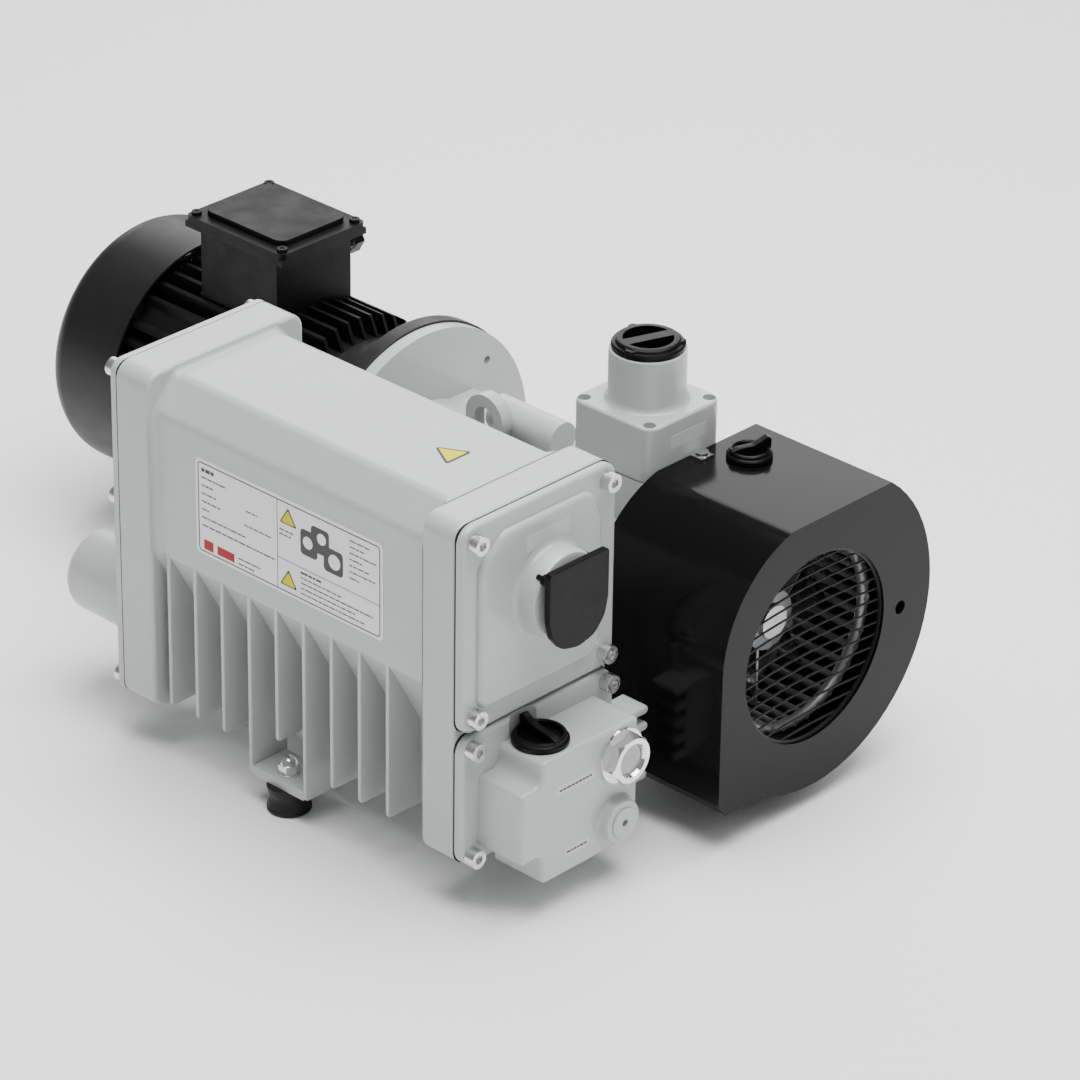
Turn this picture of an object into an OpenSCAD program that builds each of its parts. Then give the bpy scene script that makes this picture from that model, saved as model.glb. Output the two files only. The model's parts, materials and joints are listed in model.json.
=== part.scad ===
// Oil-lubricated rotary vane vacuum pump with a flange-mounted motor.
// X runs along the shaft towards the fan cowl, Y points away from the separator box, Z is up.
// The modules are drawn with z = 0 at the top of the box and x = 0 at its front face, and placed() moves
// them so that the origin is under the middle of the machine, on the surface it stands on.

/* [Separator box] */
// Length of the separator box with its rear cover
box_l = 325; // [315:1:335]
// Width of the separator box over its flanges
box_w = 145; // [143:1:147]
// Depth of the front flange from the top of the box to its lower edge
box_h = 252; // [250:1:256]
// Wall thickness of the separator casting
box_wall = 7; // [5:1:9]
// Number of cooling ribs on the side of the box
rib_count = 9; // [7:2:9]
// Thickness of one cooling rib
rib_t = 3.2; // [2.5:0.1:4]
// Spacing of the cooling ribs
rib_pitch = 26.4; // [25:0.2:27]

/* [Pump stage] */
// Distance of the shaft axis behind the front side of the box
shaft_y = 272; // [270:1:275]
// Height of the shaft axis below the top of the box
shaft_drop = 160; // [158:1:161]
// Bore of the cylinder
bore_d = 118; // [116:1:119]
// Diameter of the rotor
rotor_d = 94; // [92:1:95]
// Length of the cylinder bore
bore_l = 105; // [104:0.5:106]
// Number of vanes in the rotor
vane_count = 3; // [3:1:3]
// Gap left between rotor and bore at the seal point
seal_gap = 0.15; // [0.1:0.05:0.3]

/* [Inlet] */
// Side of the square inlet flange
inlet_side = 74; // [72:1:76]
// Outside diameter of the inlet neck
neck_d = 54; // [52:1:56]
// Bore of the threaded inlet
inlet_bore_d = 40; // [38:1:41]
// Spacing of the sunk screws in the inlet flange
inlet_pitch = 60; // [59:1:60]

/* [Fan cowl] */
// Depth of the cowl along the shaft
cowl_l = 123; // [120:1:124]
// Radius of the large round side of the cowl
cowl_r = 115; // [114:1:116]
// Thickness of the cowl sheet
cowl_t = 2; // [1.5:0.5:2.5]
// Diameter of the air opening
cowl_open_d = 141; // [136:1:144]

/* [Motor] */
// Diameter of the grey mounting disc
disc_d = 204; // [202:1:206]
// Radius over the motor ribs
motor_r = 87; // [85:1:88]
// Radius of the motor's fan cover
fan_cover_r = 96; // [95:1:98]
// Motor shaft diameter
motor_shaft_d = 24; // [22:1:28]

/* [Feet] */
// Diameter of a rubber foot
foot_d = 31; // [28:1:34]
// Height of a rubber foot
foot_h = 20; // [18:1:24]

/* [Hidden] */
$fn = 64;

paint = [0.80, 0.82, 0.81];
black = [0.08, 0.08, 0.08];
steel = [0.70, 0.70, 0.72];
rubber = [0.05, 0.05, 0.05];

shaft_z = -shaft_drop;
ecc = (bore_d - rotor_d) / 2 - seal_gap;
bore_z = shaft_z - ecc;
foot_top = -267;
floor_z = foot_top - foot_h;

// Stations along the shaft
cyl_x1 = -46.5;
cyl_x0 = cyl_x1 - bore_l;
cyl_r = 72;
plate_r = 73.5;
plate_t = 12;
fan_plate_x1 = cyl_x1 + plate_t;
motor_plate_x0 = cyl_x0 - plate_t;
disc_x1 = -294;
disc_t = 10;
flange_x1 = disc_x1 - disc_t;
flange_t = 12;
flange_x0 = flange_x1 - flange_t;
frame_x1 = -362;
frame_x0 = -532;
cover_x1 = -525;
cover_x0 = -597;
cowl_x0 = cyl_x1;
cowl_x1 = cowl_x0 + cowl_l;
cowl_y = shaft_y + 2;
cowl_screw_x = -40;
cowl_head_h = 3;
bell_flange_t = 8;
bell_flange_x = motor_plate_x0 - bell_flange_t;
FLANGE_BOLTS = [for (a = [45 : 90 : 315]) [shaft_y + 85.5 * cos(a), shaft_z + 85.5 * sin(a)]];

// Sections of the separator box
body_y0 = 6;
body_y1 = box_w - 6;
body_bot = -246;
chamfer_w = 20;
chamfer_h = 23;
rib_top = -128.5;
recess_y = 36;
recess_z = -178;
front_flange_t = 29.5;
rear_flange_x0 = -box_l + 6;
rear_flange_x1 = -288;
shelf_z = -150;
split_z = -153.5;
first_rib_x = -67;
foot_bracket_x = first_rib_x - 4 * rib_pitch;

FEET = [[foot_bracket_x, 17], [-345, 330], [-70, 330]];
COVER_SCREWS_FILTER = [[11, -12], [134, -12], [11, -140], [134, -140]];
COVER_SCREWS_SUMP = [[9, -163], [136, -163], [9, -244], [136, -244]];
COVER_SCREWS_REAR = [[9, -5], [136, -5], [9, -102], [136, -102], [9, -242], [136, -242]];

// Middle of the whole machine, measured at the end of the fan cover, the cowl and the box side
mid_x = (cover_x0 + cowl_x1) / 2;
mid_y = (cowl_y + cowl_r + cowl_head_h) / 2;

module placed() {
    translate([-mid_x, -mid_y, -floor_z]) children();
}

// A cylinder along X from x0 to x1 about (y, z)
module rod_x(r, x0, x1, y, z) {
    translate([x0, y, z]) rotate([0, 90, 0]) cylinder(r = r, h = x1 - x0);
}

// A cylinder along Z from z0 to z1 about (x, y)
module rod_z(r, x, y, z0, z1) {
    translate([x, y, z0]) cylinder(r = r, h = z1 - z0);
}

// A box between two corners
module block(a, b) {
    translate(a) cube([b[0] - a[0], b[1] - a[1], b[2] - a[2]]);
}

// An outline drawn in (y, z) and stretched along X from x0 to x1
module plate_x(x0, x1) {
    translate([x0, 0, 0]) rotate([90, 0, 90]) linear_extrude(height = x1 - x0) children();
}

// A rectangle with round corners between (a0, b0) and (a1, b1)
module round_rect(a0, b0, a1, b1, r) {
    union() {
        translate([a0 + r, b0]) square([a1 - a0 - 2 * r, b1 - b0]);
        translate([a0, b0 + r]) square([a1 - a0, b1 - b0 - 2 * r]);
        for (a = [a0 + r, a1 - r], b = [b0 + r, b1 - r]) translate([a, b]) circle(r = r);
    }
}

// A socket head screw along +X, with its head seated at x = 0
module socket_screw_x(head_r, shank_r, shank_l) {
    difference() {
        union() {
            rod_x(head_r, 0, 2 * shank_r, 0, 0);
            rod_x(shank_r, -shank_l, 0.01, 0, 0);
        }
        translate([shank_r, 0, 0]) rotate([0, 90, 0]) cylinder(r = shank_r * 0.87, h = 2 * shank_r, $fn = 6);
    }
}

module body_outline(inset) {
    y0 = body_y0 + inset;
    y1 = body_y1 - inset;
    top = -inset;
    bot = body_bot + inset;
    polygon([[y0 + chamfer_w, top], [y1 - chamfer_w, top], [y1, top - chamfer_h], [y1, bot],
        [recess_y + inset, bot], [recess_y + inset, recess_z - 4], [y0, rib_top - inset / 2],
        [y0, top - chamfer_h]]);
}

module rib_outline(bottom) {
    polygon([[body_y0, rib_top + 4], [recess_y + 2, rib_top + 4], [recess_y + 2, bottom],
        [body_y0, bottom]]);
}

module separator_housing() {
    foot = FEET[0];
    color(paint) difference() {
        union() {
            plate_x(rear_flange_x1 - 1, -front_flange_t + 1) body_outline(0);
            plate_x(rear_flange_x0, rear_flange_x1) round_rect(0, -box_h, box_w, 5, 10);
            plate_x(-front_flange_t, 0) round_rect(0, -box_h, box_w, 0, 10);
            for (i = [0 : rib_count - 1])
                translate([first_rib_x - i * rib_pitch, 0, 0])
                    plate_x(-rib_t / 2, rib_t / 2)
                        rib_outline(abs(i - 4) == 1 ? foot_top : (i == 4 ? -231 : body_bot));
            block([foot[0] - rib_pitch, body_y0, foot_top], [foot[0] + rib_pitch, recess_y + 2, foot_top + 7]);
        }
        plate_x(rear_flange_x0 - 1, 1) difference() {
            body_outline(box_wall);
            translate([0, shelf_z - box_wall]) square([box_w, box_wall]);
        }
        rod_z(4.2, foot[0], foot[1], foot_top - 1, foot_top + 8);
        // Ports: oil and gas from the cylinder, and the rise from the sump to the filter room
        block([-146, body_y1 - box_wall - 1, -202], [-94, body_y1 + 1, -162]);
        rod_z(18, -265, 72.5, shelf_z - box_wall - 1, shelf_z + 1);
        // Tapped holes for the covers
        for (p = concat(COVER_SCREWS_FILTER, COVER_SCREWS_SUMP)) rod_x(4, -16, 1, p[0], p[1]);
        for (p = COVER_SCREWS_REAR) rod_x(4, rear_flange_x0 - 1, rear_flange_x0 + 16, p[0], p[1]);
    }
    // Two ears under the shelf that carry the float's pin
    color(paint) for (y = [60, 96])
        difference() {
            block([-118, y, shelf_z - box_wall - 14], [-102, y + 4, shelf_z - box_wall + 1]);
            translate([-110, y - 1, -166]) rotate([-90, 0, 0]) cylinder(r = 2.5, h = 6);
        }
}

// Place of the spin-on oil filter
spin_y = 54;
spin_z = -204;

module rear_cover() {
    color(paint) difference() {
        union() {
            plate_x(-box_l, rear_flange_x0 - 1) round_rect(0.5, -box_h + 0.5, box_w - 0.5, 4.5, 10);
            rod_x(36, -box_l - 8, -box_l + 1, spin_y, spin_z);
        }
        for (p = COVER_SCREWS_REAR) rod_x(4.3, -box_l - 1, rear_flange_x0, p[0], p[1]);
        rod_x(8, -box_l - 9, rear_flange_x0, spin_y, spin_z);
    }
}

// A flat gasket of one millimetre round an opening
module gasket_outline(y0, z0, y1, z1) {
    difference() {
        round_rect(y0, z0, y1, z1, 10);
        round_rect(18, z0 + 10, box_w - 18, z1 - 13, 4);
    }
}

module rear_cover_gasket() {
    color(rubber) plate_x(rear_flange_x0 - 1, rear_flange_x0) difference() {
        gasket_outline(0.5, -box_h + 0.5, box_w - 0.5, 4.5);
        for (p = COVER_SCREWS_REAR) translate(p) circle(r = 4.3);
    }
}

module filter_cover_gasket() {
    color(rubber) plate_x(0, 1) difference() {
        gasket_outline(0.5, split_z + 1, box_w - 0.5, -0.5);
        for (p = COVER_SCREWS_FILTER) translate(p) circle(r = 4.3);
    }
}

module sump_cover_gasket() {
    color(rubber) plate_x(0, 1) difference() {
        gasket_outline(0.5, -box_h + 0.5, box_w - 0.5, split_z - 1);
        for (p = COVER_SCREWS_SUMP) translate(p) circle(r = 4.3);
    }
}

port_y = 77;
port_z = -68;
PEGS = [[54, -47], [98, -47], [76, -92]];

module filter_cover() {
    color(paint) difference() {
        union() {
            plate_x(1, 7) round_rect(0.5, split_z + 1, box_w - 0.5, -0.5, 10);
            plate_x(6, 11) round_rect(13, -136, 133, -24, 8);
            plate_x(6, 11) round_rect(25, -40, 121, -10, 8);
            rod_x(31, 10, 28, port_y, port_z);
        }
        plate_x(0, 5) round_rect(22, -130, 123, -20, 6);
        rod_x(20, 0, 29, port_y, port_z);
        for (p = COVER_SCREWS_FILTER) rod_x(4.3, 0, 8, p[0], p[1]);
        for (p = PEGS) rod_x(2, 22, 29, p[0], p[1]);
    }
}

// The deflector is a flat plate with a square top and a round lower edge, on three pegs
module exhaust_deflector() {
    color(black) union() {
        plate_x(34, 39) union() {
            translate([76, -73]) circle(r = 28);
            round_rect(48, -73, 104, -38, 3);
        }
        for (p = PEGS) {
            rod_x(4, 28, 35, p[0], p[1]);
            rod_x(1.9, 22.5, 29, p[0], p[1]);
        }
    }
}

// The filter cartridge: a fibre tube with end caps bonded to it
module exhaust_filter() {
    color([0.9, 0.88, 0.8]) difference() {
        union() {
            rod_x(42, -286, -13, 72.5, -78);
            rod_x(45, -292, -285, 72.5, -78);
            rod_x(45, -14, -9, 72.5, -78);
        }
        rod_x(24, -293, -14, 72.5, -78);
    }
}

// A bowed leaf spring that presses the filter back from the cover
module filter_spring() {
    color(steel) translate([0, 0, -86]) linear_extrude(height = 16)
        polygon([[5, 24], [-9, 58], [-9, 87], [5, 121], [5, 118.5], [-8, 86.5], [-8, 58.5], [5, 26.5]]);
}

fill_x = 24;
fill_y = 57;
fill_z = -169.5;
glass_y = 110;
glass_z = -192;
drain_y = 105;
drain_z = -239;
sump_x1 = 47.5;

// Short cooling ribs with round tips on the far side of the sump cover
module sump_ribs() {
    for (i = [0 : 4]) translate([1, 0, -189 - i * 12.6]) {
        block([0, 120, -3.2], [22.5, 160, 3.2]);
        translate([0, 160, 0]) rotate([0, 90, 0]) cylinder(r = 3.2, h = 22.5);
    }
}

module sump_cover() {
    color(paint) difference() {
        union() {
            plate_x(1, 8) round_rect(0.5, -box_h + 0.5, box_w - 0.5, split_z - 1, 10);
            block([1, 35, -262], [sump_x1, 127, fill_z]);
            block([1, 15.5, -239.5], [sump_x1, 36, -186]);
            // Corner ledge with the ribs of the cooling side
            plate_x(1, 23.5) polygon([[120, -186], [149, -186], [151, -240], [134, -240], [127, -247],
                [127, -262], [120, -262]]);
            sump_ribs();
            rod_x(16, sump_x1 - 1, sump_x1 + 8, drain_y, drain_z);
        }
        block([0, 42, -252], [sump_x1 - 7, 120, fill_z - 7]);
        block([0, 22, -233], [sump_x1 - 7, 43, -192]);
        for (p = COVER_SCREWS_SUMP) {
            rod_x(4.3, 0, 9, p[0], p[1]);
            rod_x(7.5, 8, sump_x1 + 1, p[0], p[1]);
        }
        rod_z(12, fill_x, fill_y, fill_z - 8, fill_z + 1);
        rod_z(20.5, fill_x, fill_y, fill_z, fill_z + 20);
        rod_x(12, sump_x1 - 8, sump_x1 + 1, glass_y - 1, glass_z);
        rod_x(6.6, sump_x1 - 8, sump_x1 + 9, drain_y, drain_z);
    }
}

module cover_screws() {
    color(steel) {
        for (p = COVER_SCREWS_FILTER) translate([7, p[0], p[1]]) socket_screw_x(6.5, 3.95, 21);
        for (p = COVER_SCREWS_SUMP) translate([8, p[0], p[1]]) socket_screw_x(6.5, 3.95, 22);
        for (p = COVER_SCREWS_REAR)
            translate([-box_l, p[0], p[1]]) mirror([1, 0, 0]) socket_screw_x(6.5, 3.95, 20);
    }
}

// A cap with a raised grip bar, shared by the oil fill plug and the gas ballast knob
module wing_cap(r) {
    cylinder(r = r, h = 5);
    cylinder(r = r - 2.5, h = 7);
    intersection() {
        translate([-3, -r, 0]) cube([6, 2 * r, 15]);
        cylinder(r1 = r, r2 = r - 3, h = 15);
    }
}

module oil_fill_plug() {
    color(black) translate([fill_x, fill_y, fill_z]) {
        rotate([0, 0, 84]) wing_cap(19.5);
        translate([0, 0, -12]) cylinder(r = 11.9, h = 13);
    }
}

module sight_glass_fitting() {
    color(steel) difference() {
        union() {
            rod_x(20, sump_x1, sump_x1 + 2, glass_y - 1, glass_z);
            translate([sump_x1 + 2, glass_y - 1, glass_z]) rotate([0, 90, 0]) rotate([0, 0, 12])
                cylinder(r = 18.5, h = 10, $fn = 6);
            rod_x(11.95, sump_x1 - 7, sump_x1 + 1, glass_y - 1, glass_z);
        }
        rod_x(9, sump_x1 - 8, sump_x1 + 13, glass_y - 1, glass_z);
        rod_x(11, sump_x1 + 6, sump_x1 + 13, glass_y - 1, glass_z);
    }
}

module sight_glass_lens() {
    color([0.85, 0.88, 0.85]) rod_x(10.95, sump_x1 + 6, sump_x1 + 9, glass_y - 1, glass_z);
}

module drain_plug() {
    color(paint) difference() {
        union() {
            rod_x(11, sump_x1 + 8, sump_x1 + 9.5, drain_y, drain_z);
            rod_x(6.5, sump_x1 - 6, sump_x1 + 9, drain_y, drain_z);
        }
        translate([sump_x1 + 4, drain_y, drain_z]) rotate([0, 90, 0]) cylinder(r = 3, h = 6, $fn = 6);
    }
}

module nameplate() {
    color("white") translate([0, body_y0, 0]) rotate([90, 0, 0]) linear_extrude(height = 0.5)
        round_rect(-248, -113, -70, -41, 4);
}

// Float with its lever; the lever hangs from the pin under the shelf
module float_valve() {
    color(steel) {
        difference() {
            union() {
                translate([-110, 64.5, -166]) rotate([-90, 0, 0]) cylinder(r = 5, h = 31);
                block([-110, 76, -170], [-70, 84, -166]);
                block([-74, 76, -190], [-68, 84, -166]);
            }
            translate([-110, 60, -166]) rotate([-90, 0, 0]) cylinder(r = 2.6, h = 40);
        }
        translate([-71, 60, -203]) rotate([-90, 0, 0]) cylinder(r = 16, h = 40);
    }
}

module float_pin() {
    color(steel) translate([-110, 58, -166]) rotate([-90, 0, 0]) cylinder(r = 2.5, h = 44);
}

module oil_filter() {
    color(paint) translate([-box_l - 8, spin_y, spin_z]) rotate([0, -90, 0]) rotate_extrude() union() {
        square([31, 66]);
        translate([0, 62]) square([21, 14]);
        translate([21, 66]) intersection() {
            circle(r = 10);
            square(10);
        }
        square([33, 6]);
    }
}

// Rubber bobbins with a threaded stud bonded in on top and a tapped hole below
module rubber_feet() {
    color(rubber) for (f = FEET) difference() {
        union() {
            rod_z(foot_d / 2, f[0], f[1], floor_z, floor_z + 7);
            rod_z(foot_d / 2 - 1.5, f[0], f[1], floor_z + 6, foot_top - 6);
            rod_z(foot_d / 2, f[0], f[1], foot_top - 7, foot_top);
            rod_z(3.95, f[0], f[1], foot_top - 1, foot_top + 14);
        }
        rod_z(3.4, f[0], f[1], floor_z - 1, floor_z + 9);
    }
}

module foot_nuts() {
    color(steel) for (f = FEET) translate([f[0], f[1], foot_top + 7]) difference() {
        union() {
            cylinder(r = 8, h = 1.6);
            translate([0, 0, 1.5]) cylinder(r = 7.5, h = 6.5, $fn = 6);
            translate([0, 0, 7]) intersection() {
                sphere(r = 6.2);
                translate([-7, -7, 0]) cube([14, 14, 7]);
            }
        }
        translate([0, 0, -1]) cylinder(r = 3.95, h = 8.5);
    }
}

saddle_z = -75;
inlet_x = -84;
INLET_HOLES = [for (sx = [-0.5, 0.5], sy = [-0.5, 0.5]) [inlet_x + sx * inlet_pitch, shaft_y + sy * inlet_pitch]];

// The round boss over the tie bolt, which crosses housing, plate and cylinder
module tie_boss(x0, x1) {
    rod_x(13, x0, x1, shaft_y - 4, -91);
}

PLATE_BOLTS = [for (i = [0 : 5]) let (a = 60 * i) [shaft_y + 65.5 * cos(a), bore_z + 65.5 * sin(a)]];

module pump_cylinder() {
    foot = FEET[2];
    color(paint) difference() {
        union() {
            rod_x(cyl_r, cyl_x0, cyl_x1, shaft_y, bore_z);
            // Saddle of the inlet flange and duct towards the separator box
            block([inlet_x - 37, shaft_y - 37, bore_z + 40], [cyl_x1, shaft_y + 37, saddle_z]);
            block([cyl_x0 + 0.5, body_y1, -212], [-85, shaft_y - 30, -113]);
            // Leg to the front foot on the far side
            block([-60, foot[1] - 18, foot_top], [-50, foot[1] + 12, -200]);
            block([foot[0] - 18, foot[1] - 18, foot_top], [-50, foot[1] + 18, foot_top + 7]);
        }
        rod_x(bore_d / 2, cyl_x0 - 1, cyl_x1 + 1, shaft_y, bore_z);
        rod_z(18, inlet_x, shaft_y, bore_z, saddle_z + 1);
        block([cyl_x0 + 7, body_y1 - 1, -204], [-93, shaft_y - bore_d / 2 - 12, -121]);
        for (x = [-134, -104])
            translate([x, shaft_y - bore_d / 2 - 14, -165]) rotate([-90, 0, 0]) cylinder(r = 8, h = 26);
        for (p = PLATE_BOLTS, x = [cyl_x0 - 1, cyl_x1 - 20]) rod_x(3, x, x + 21, p[0], p[1]);
        for (p = INLET_HOLES) rod_z(2.5, p[0], p[1], saddle_z - 15, saddle_z + 1);
        rod_z(4.2, foot[0], foot[1], foot_top - 1, foot_top + 8);
    }
}

module exhaust_reed() {
    y = shaft_y - bore_d / 2 - 12;
    color(steel) block([-143, y - 0.8, -190], [-95, y, -130]);
}

// Round end plate, shared by both sides; its bearing seat lies on the shaft axis
module end_plate(x0, x1) {
    difference() {
        union() {
            rod_x(plate_r, x0, x1, shaft_y, bore_z);
            children();
        }
        rod_x(17, x0 - 1, x1 + 1, shaft_y, shaft_z);
        for (p = PLATE_BOLTS) rod_x(3.2, x0 - 1, x1 + 1, p[0], p[1]);
    }
}

module motor_side_plate() {
    color(paint) end_plate(motor_plate_x0, cyl_x0) tie_boss(motor_plate_x0, motor_plate_x0 + 6);
}

module fan_side_plate() {
    color(paint) difference() {
        end_plate(cyl_x1, fan_plate_x1) union() {
            // Lugs that carry the cowl and the gas ballast valve
            block([cyl_x1, 270, -120], [fan_plate_x1, 290, -67]);
            block([cyl_x1, 340, -166], [fan_plate_x1, 386.5, -148]);
            block([cyl_x1, 290, -120], [fan_plate_x1, 314, -80]);
        }
        rod_z(3, cowl_screw_x, 280, -85, -66);
        translate([cowl_screw_x, 374, -157]) rotate([-90, 0, 0]) cylinder(r = 3, h = 20);
    }
}

module plate_screws() {
    color(steel) for (p = PLATE_BOLTS) {
        translate([fan_plate_x1, p[0], p[1]]) socket_screw_x(5, 2.95, 30);
        translate([bell_flange_x, p[0], p[1]]) mirror([1, 0, 0]) socket_screw_x(5, 2.95, 39);
    }
}

vane_t = 6;
vane_h = 30;
vane_offset = 12;
vane_tip = sqrt(pow(rotor_d / 2, 2) - pow(vane_offset + vane_t / 2, 2)) - 0.15;
slot_bottom = 12;
pump_shaft_r = 12;

// Places its children in the frame of vane number i, with radial direction +Z
module vane_place(i) {
    translate([0, shaft_y, shaft_z]) rotate([i * 360 / vane_count, 0, 0]) children();
}

module pump_rotor() {
    color(steel) difference() {
        union() {
            rod_x(rotor_d / 2, cyl_x0 + 0.1, cyl_x1 - 0.1, shaft_y, shaft_z);
            rod_x(pump_shaft_r, -252, 38, shaft_y, shaft_z);
        }
        for (i = [0 : vane_count - 1])
            vane_place(i) translate([cyl_x0, vane_offset - vane_t / 2 - 0.05, slot_bottom])
                cube([bore_l, vane_t + 0.1, rotor_d / 2]);
    }
}

// The vane slides in its slot and lies flush with the rotor at rest
module vane(i) {
    color([0.25, 0.23, 0.2]) vane_place(i)
        translate([cyl_x0 + 0.3, vane_offset - vane_t / 2, vane_tip - vane_h])
            cube([bore_l - 0.6, vane_t, vane_h]);
}

module vane_1() { vane(0); }
module vane_2() { vane(1); }
module vane_3() { vane(2); }

module bearing_ring(outer_r, shaft_r, x0, x1) {
    difference() {
        rod_x(outer_r, x0, x1, shaft_y, shaft_z);
        rod_x(shaft_r + 0.05, x0 - 1, x1 + 1, shaft_y, shaft_z);
    }
}

// Needle bushes in the end plates of the pump and ball bearings in the shields of the motor
module shaft_bearings() {
    color(steel) {
        for (x = [motor_plate_x0, cyl_x1]) bearing_ring(17, pump_shaft_r, x + 0.5, x + plate_t - 0.5);
        bearing_ring(26, motor_shaft_d / 2, -352, -336);
        bearing_ring(20, motor_shaft_d / 2, frame_x0 + 1, frame_x0 + 13);
    }
}

neck_top = 5.5;
inlet_top = -33;
valve_seat_z = -51;
screen_z = -28;

module inlet_flange() {
    color(paint) difference() {
        union() {
            block_round_z(inlet_x, shaft_y, inlet_side, 10, saddle_z, inlet_top);
            rod_z(neck_d / 2, inlet_x, shaft_y, inlet_top - 1, neck_top);
        }
        rod_z(21, inlet_x, shaft_y, neck_top - 13, neck_top + 1);
        rod_z(inlet_bore_d / 2, inlet_x, shaft_y, inlet_top + 8, neck_top);
        rod_z(18, inlet_x, shaft_y, valve_seat_z - 1, neck_top);
        rod_z(25, inlet_x, shaft_y, saddle_z - 1, valve_seat_z);
        for (p = INLET_HOLES) {
            rod_z(4.5, p[0], p[1], inlet_top - 12, inlet_top + 1);
            rod_z(2.7, p[0], p[1], saddle_z - 1, inlet_top - 11);
        }
    }
}

// A square block with round upright edges about (x, y)
module block_round_z(x, y, side, r, z0, z1) {
    translate([0, 0, z0]) linear_extrude(height = z1 - z0)
        round_rect(x - side / 2, y - side / 2, x + side / 2, y + side / 2, r);
}

module inlet_screws() {
    color(steel) for (p = INLET_HOLES) translate([p[0], p[1], inlet_top - 12]) difference() {
        union() {
            cylinder(r = 4.25, h = 5);
            translate([0, 0, -42]) cylinder(r = 2.45, h = 43);
        }
        translate([0, 0, 2.5]) cylinder(r = 2.2, h = 4, $fn = 6);
    }
}

module inlet_screen() {
    color(steel) difference() {
        rod_z(17.9, inlet_x, shaft_y, screen_z, screen_z + 1);
        for (i = [-2 : 2], j = [-2 : 2]) if (abs(i) + abs(j) < 4)
            rod_z(2.2, inlet_x + i * 6.4, shaft_y + j * 6.4, screen_z - 1, screen_z + 2);
    }
}

module check_valve_disc() {
    color(steel) union() {
        rod_z(22.5, inlet_x, shaft_y, valve_seat_z - 3, valve_seat_z);
        rod_z(5, inlet_x, shaft_y, valve_seat_z - 8, valve_seat_z - 2);
    }
}

// A round-wire coil of radius r and height h between wire centres
module coil_spring(r, wire_r, h, turns) {
    steps = 16 * turns;
    sides = 8;
    points = [for (i = [0 : steps], j = [0 : sides - 1])
        let (a = 22.5 * i, b = 360 * j / sides, d = r + wire_r * cos(b))
        [d * cos(a), d * sin(a), h * i / steps + wire_r * sin(b)]];
    ends = [[for (j = [0 : sides - 1]) j], [for (j = [sides - 1 : -1 : 0]) steps * sides + j]];
    skin = [for (i = [0 : steps - 1], j = [0 : sides - 1]) let (k = (j + 1) % sides)
        [i * sides + j, (i + 1) * sides + j, (i + 1) * sides + k, i * sides + k]];
    polyhedron(points = points, faces = concat(ends, skin));
}

module check_valve_spring() {
    wire_r = 1.2;
    color(steel) translate([inlet_x, shaft_y, saddle_z + wire_r])
        coil_spring(20.5, wire_r, valve_seat_z - 3 - saddle_z - 2 * wire_r, 4);
}

module inlet_plug() {
    color(black) translate([inlet_x, shaft_y, 0]) difference() {
        union() {
            rod_z(20.9, 0, 0, neck_top - 13, neck_top + 1);
            rod_z(25.5, 0, 0, neck_top, neck_top + 4);
            rod_z(22.5, 0, 0, neck_top + 3, neck_top + 7);
            for (a = [40 : 120 : 280])
                rotate([0, 0, a]) translate([21, -5, neck_top]) cube([5.5, 10, 6]);
        }
        difference() {
            rod_z(17.5, 0, 0, neck_top - 2, neck_top + 8);
            rotate([0, 0, -20]) translate([-3.5, -20, neck_top - 3]) cube([7, 40, 12]);
        }
    }
}

module coupling_housing() {
    foot = FEET[1];
    color(paint) difference() {
        union() {
            rod_x(disc_d / 2, flange_x1, disc_x1, shaft_y, shaft_z);
            rod_x(48, disc_x1 - 1, motor_plate_x0, shaft_y, shaft_z);
            rod_x(plate_r, bell_flange_x, motor_plate_x0, shaft_y, bore_z);
            tie_boss(-220, motor_plate_x0);
            block([-218, shaft_y - 8, -120], [bell_flange_x + 1, shaft_y, -95]);
            // Flat ledge along the top of the neck
            block([disc_x1 - 1, shaft_y - 20, shaft_z + 25], [bell_flange_x + 1, shaft_y + 47, shaft_z + 43]);
            // Lifting lug
            translate([-209, 252, -84]) rotate([90, 0, 0]) cylinder(r = 18, h = 10);
            block([-227, 242, -130], [-196, 252, -84]);
            // Leg to the rear foot
            block([flange_x1, foot[1] - 18, foot_top], [disc_x1, foot[1] + 18, -225]);
            block([foot[0] - 18, foot[1] - 18, foot_top], [disc_x1, foot[1] + 18, foot_top + 7]);
        }
        rod_x(40, flange_x1 - 1, bell_flange_x, shaft_y, shaft_z);
        rod_x(20, bell_flange_x - 1, motor_plate_x0 + 1, shaft_y, shaft_z);
        rod_x(65, flange_x1 - 1, flange_x1 + 4, shaft_y, shaft_z);
        // Eye and foot of the lifting lug
        translate([-209, 253, -84]) rotate([90, 0, 0]) cylinder(r = 9, h = 12);
        block([-218, 241, -104], [-200, 253, -84]);
        for (p = FLANGE_BOLTS) rod_x(3.2, flange_x1 - 1, disc_x1 + 1, p[0], p[1]);
        // Hand window to the coupling on the far side
        block([-275, shaft_y + 30, shaft_z - 22], [-225, shaft_y + 50, shaft_z + 22]);
        rod_z(4.2, foot[0], foot[1], foot_top - 1, foot_top + 8);
        for (p = PLATE_BOLTS) {
            rod_x(3.2, bell_flange_x - 1, motor_plate_x0 + 1, p[0], p[1]);
            rod_x(5.6, bell_flange_x - 20, bell_flange_x, p[0], p[1]);
        }
    }
}

// A wedge of a ring about the shaft, from angle a0 to a0 + 40
module jaw(x0, x1, a0) {
    translate([x0, shaft_y, shaft_z]) rotate([a0, 0, 0]) rotate([0, 90, 0]) intersection() {
        difference() {
            cylinder(r = 30, h = x1 - x0);
            translate([0, 0, -1]) cylinder(r = 15, h = x1 - x0 + 2);
        }
        linear_extrude(height = x1 - x0)
            polygon([[0, 0], [40, 0], [40 * cos(36), 40 * sin(36)]]);
    }
}

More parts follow.
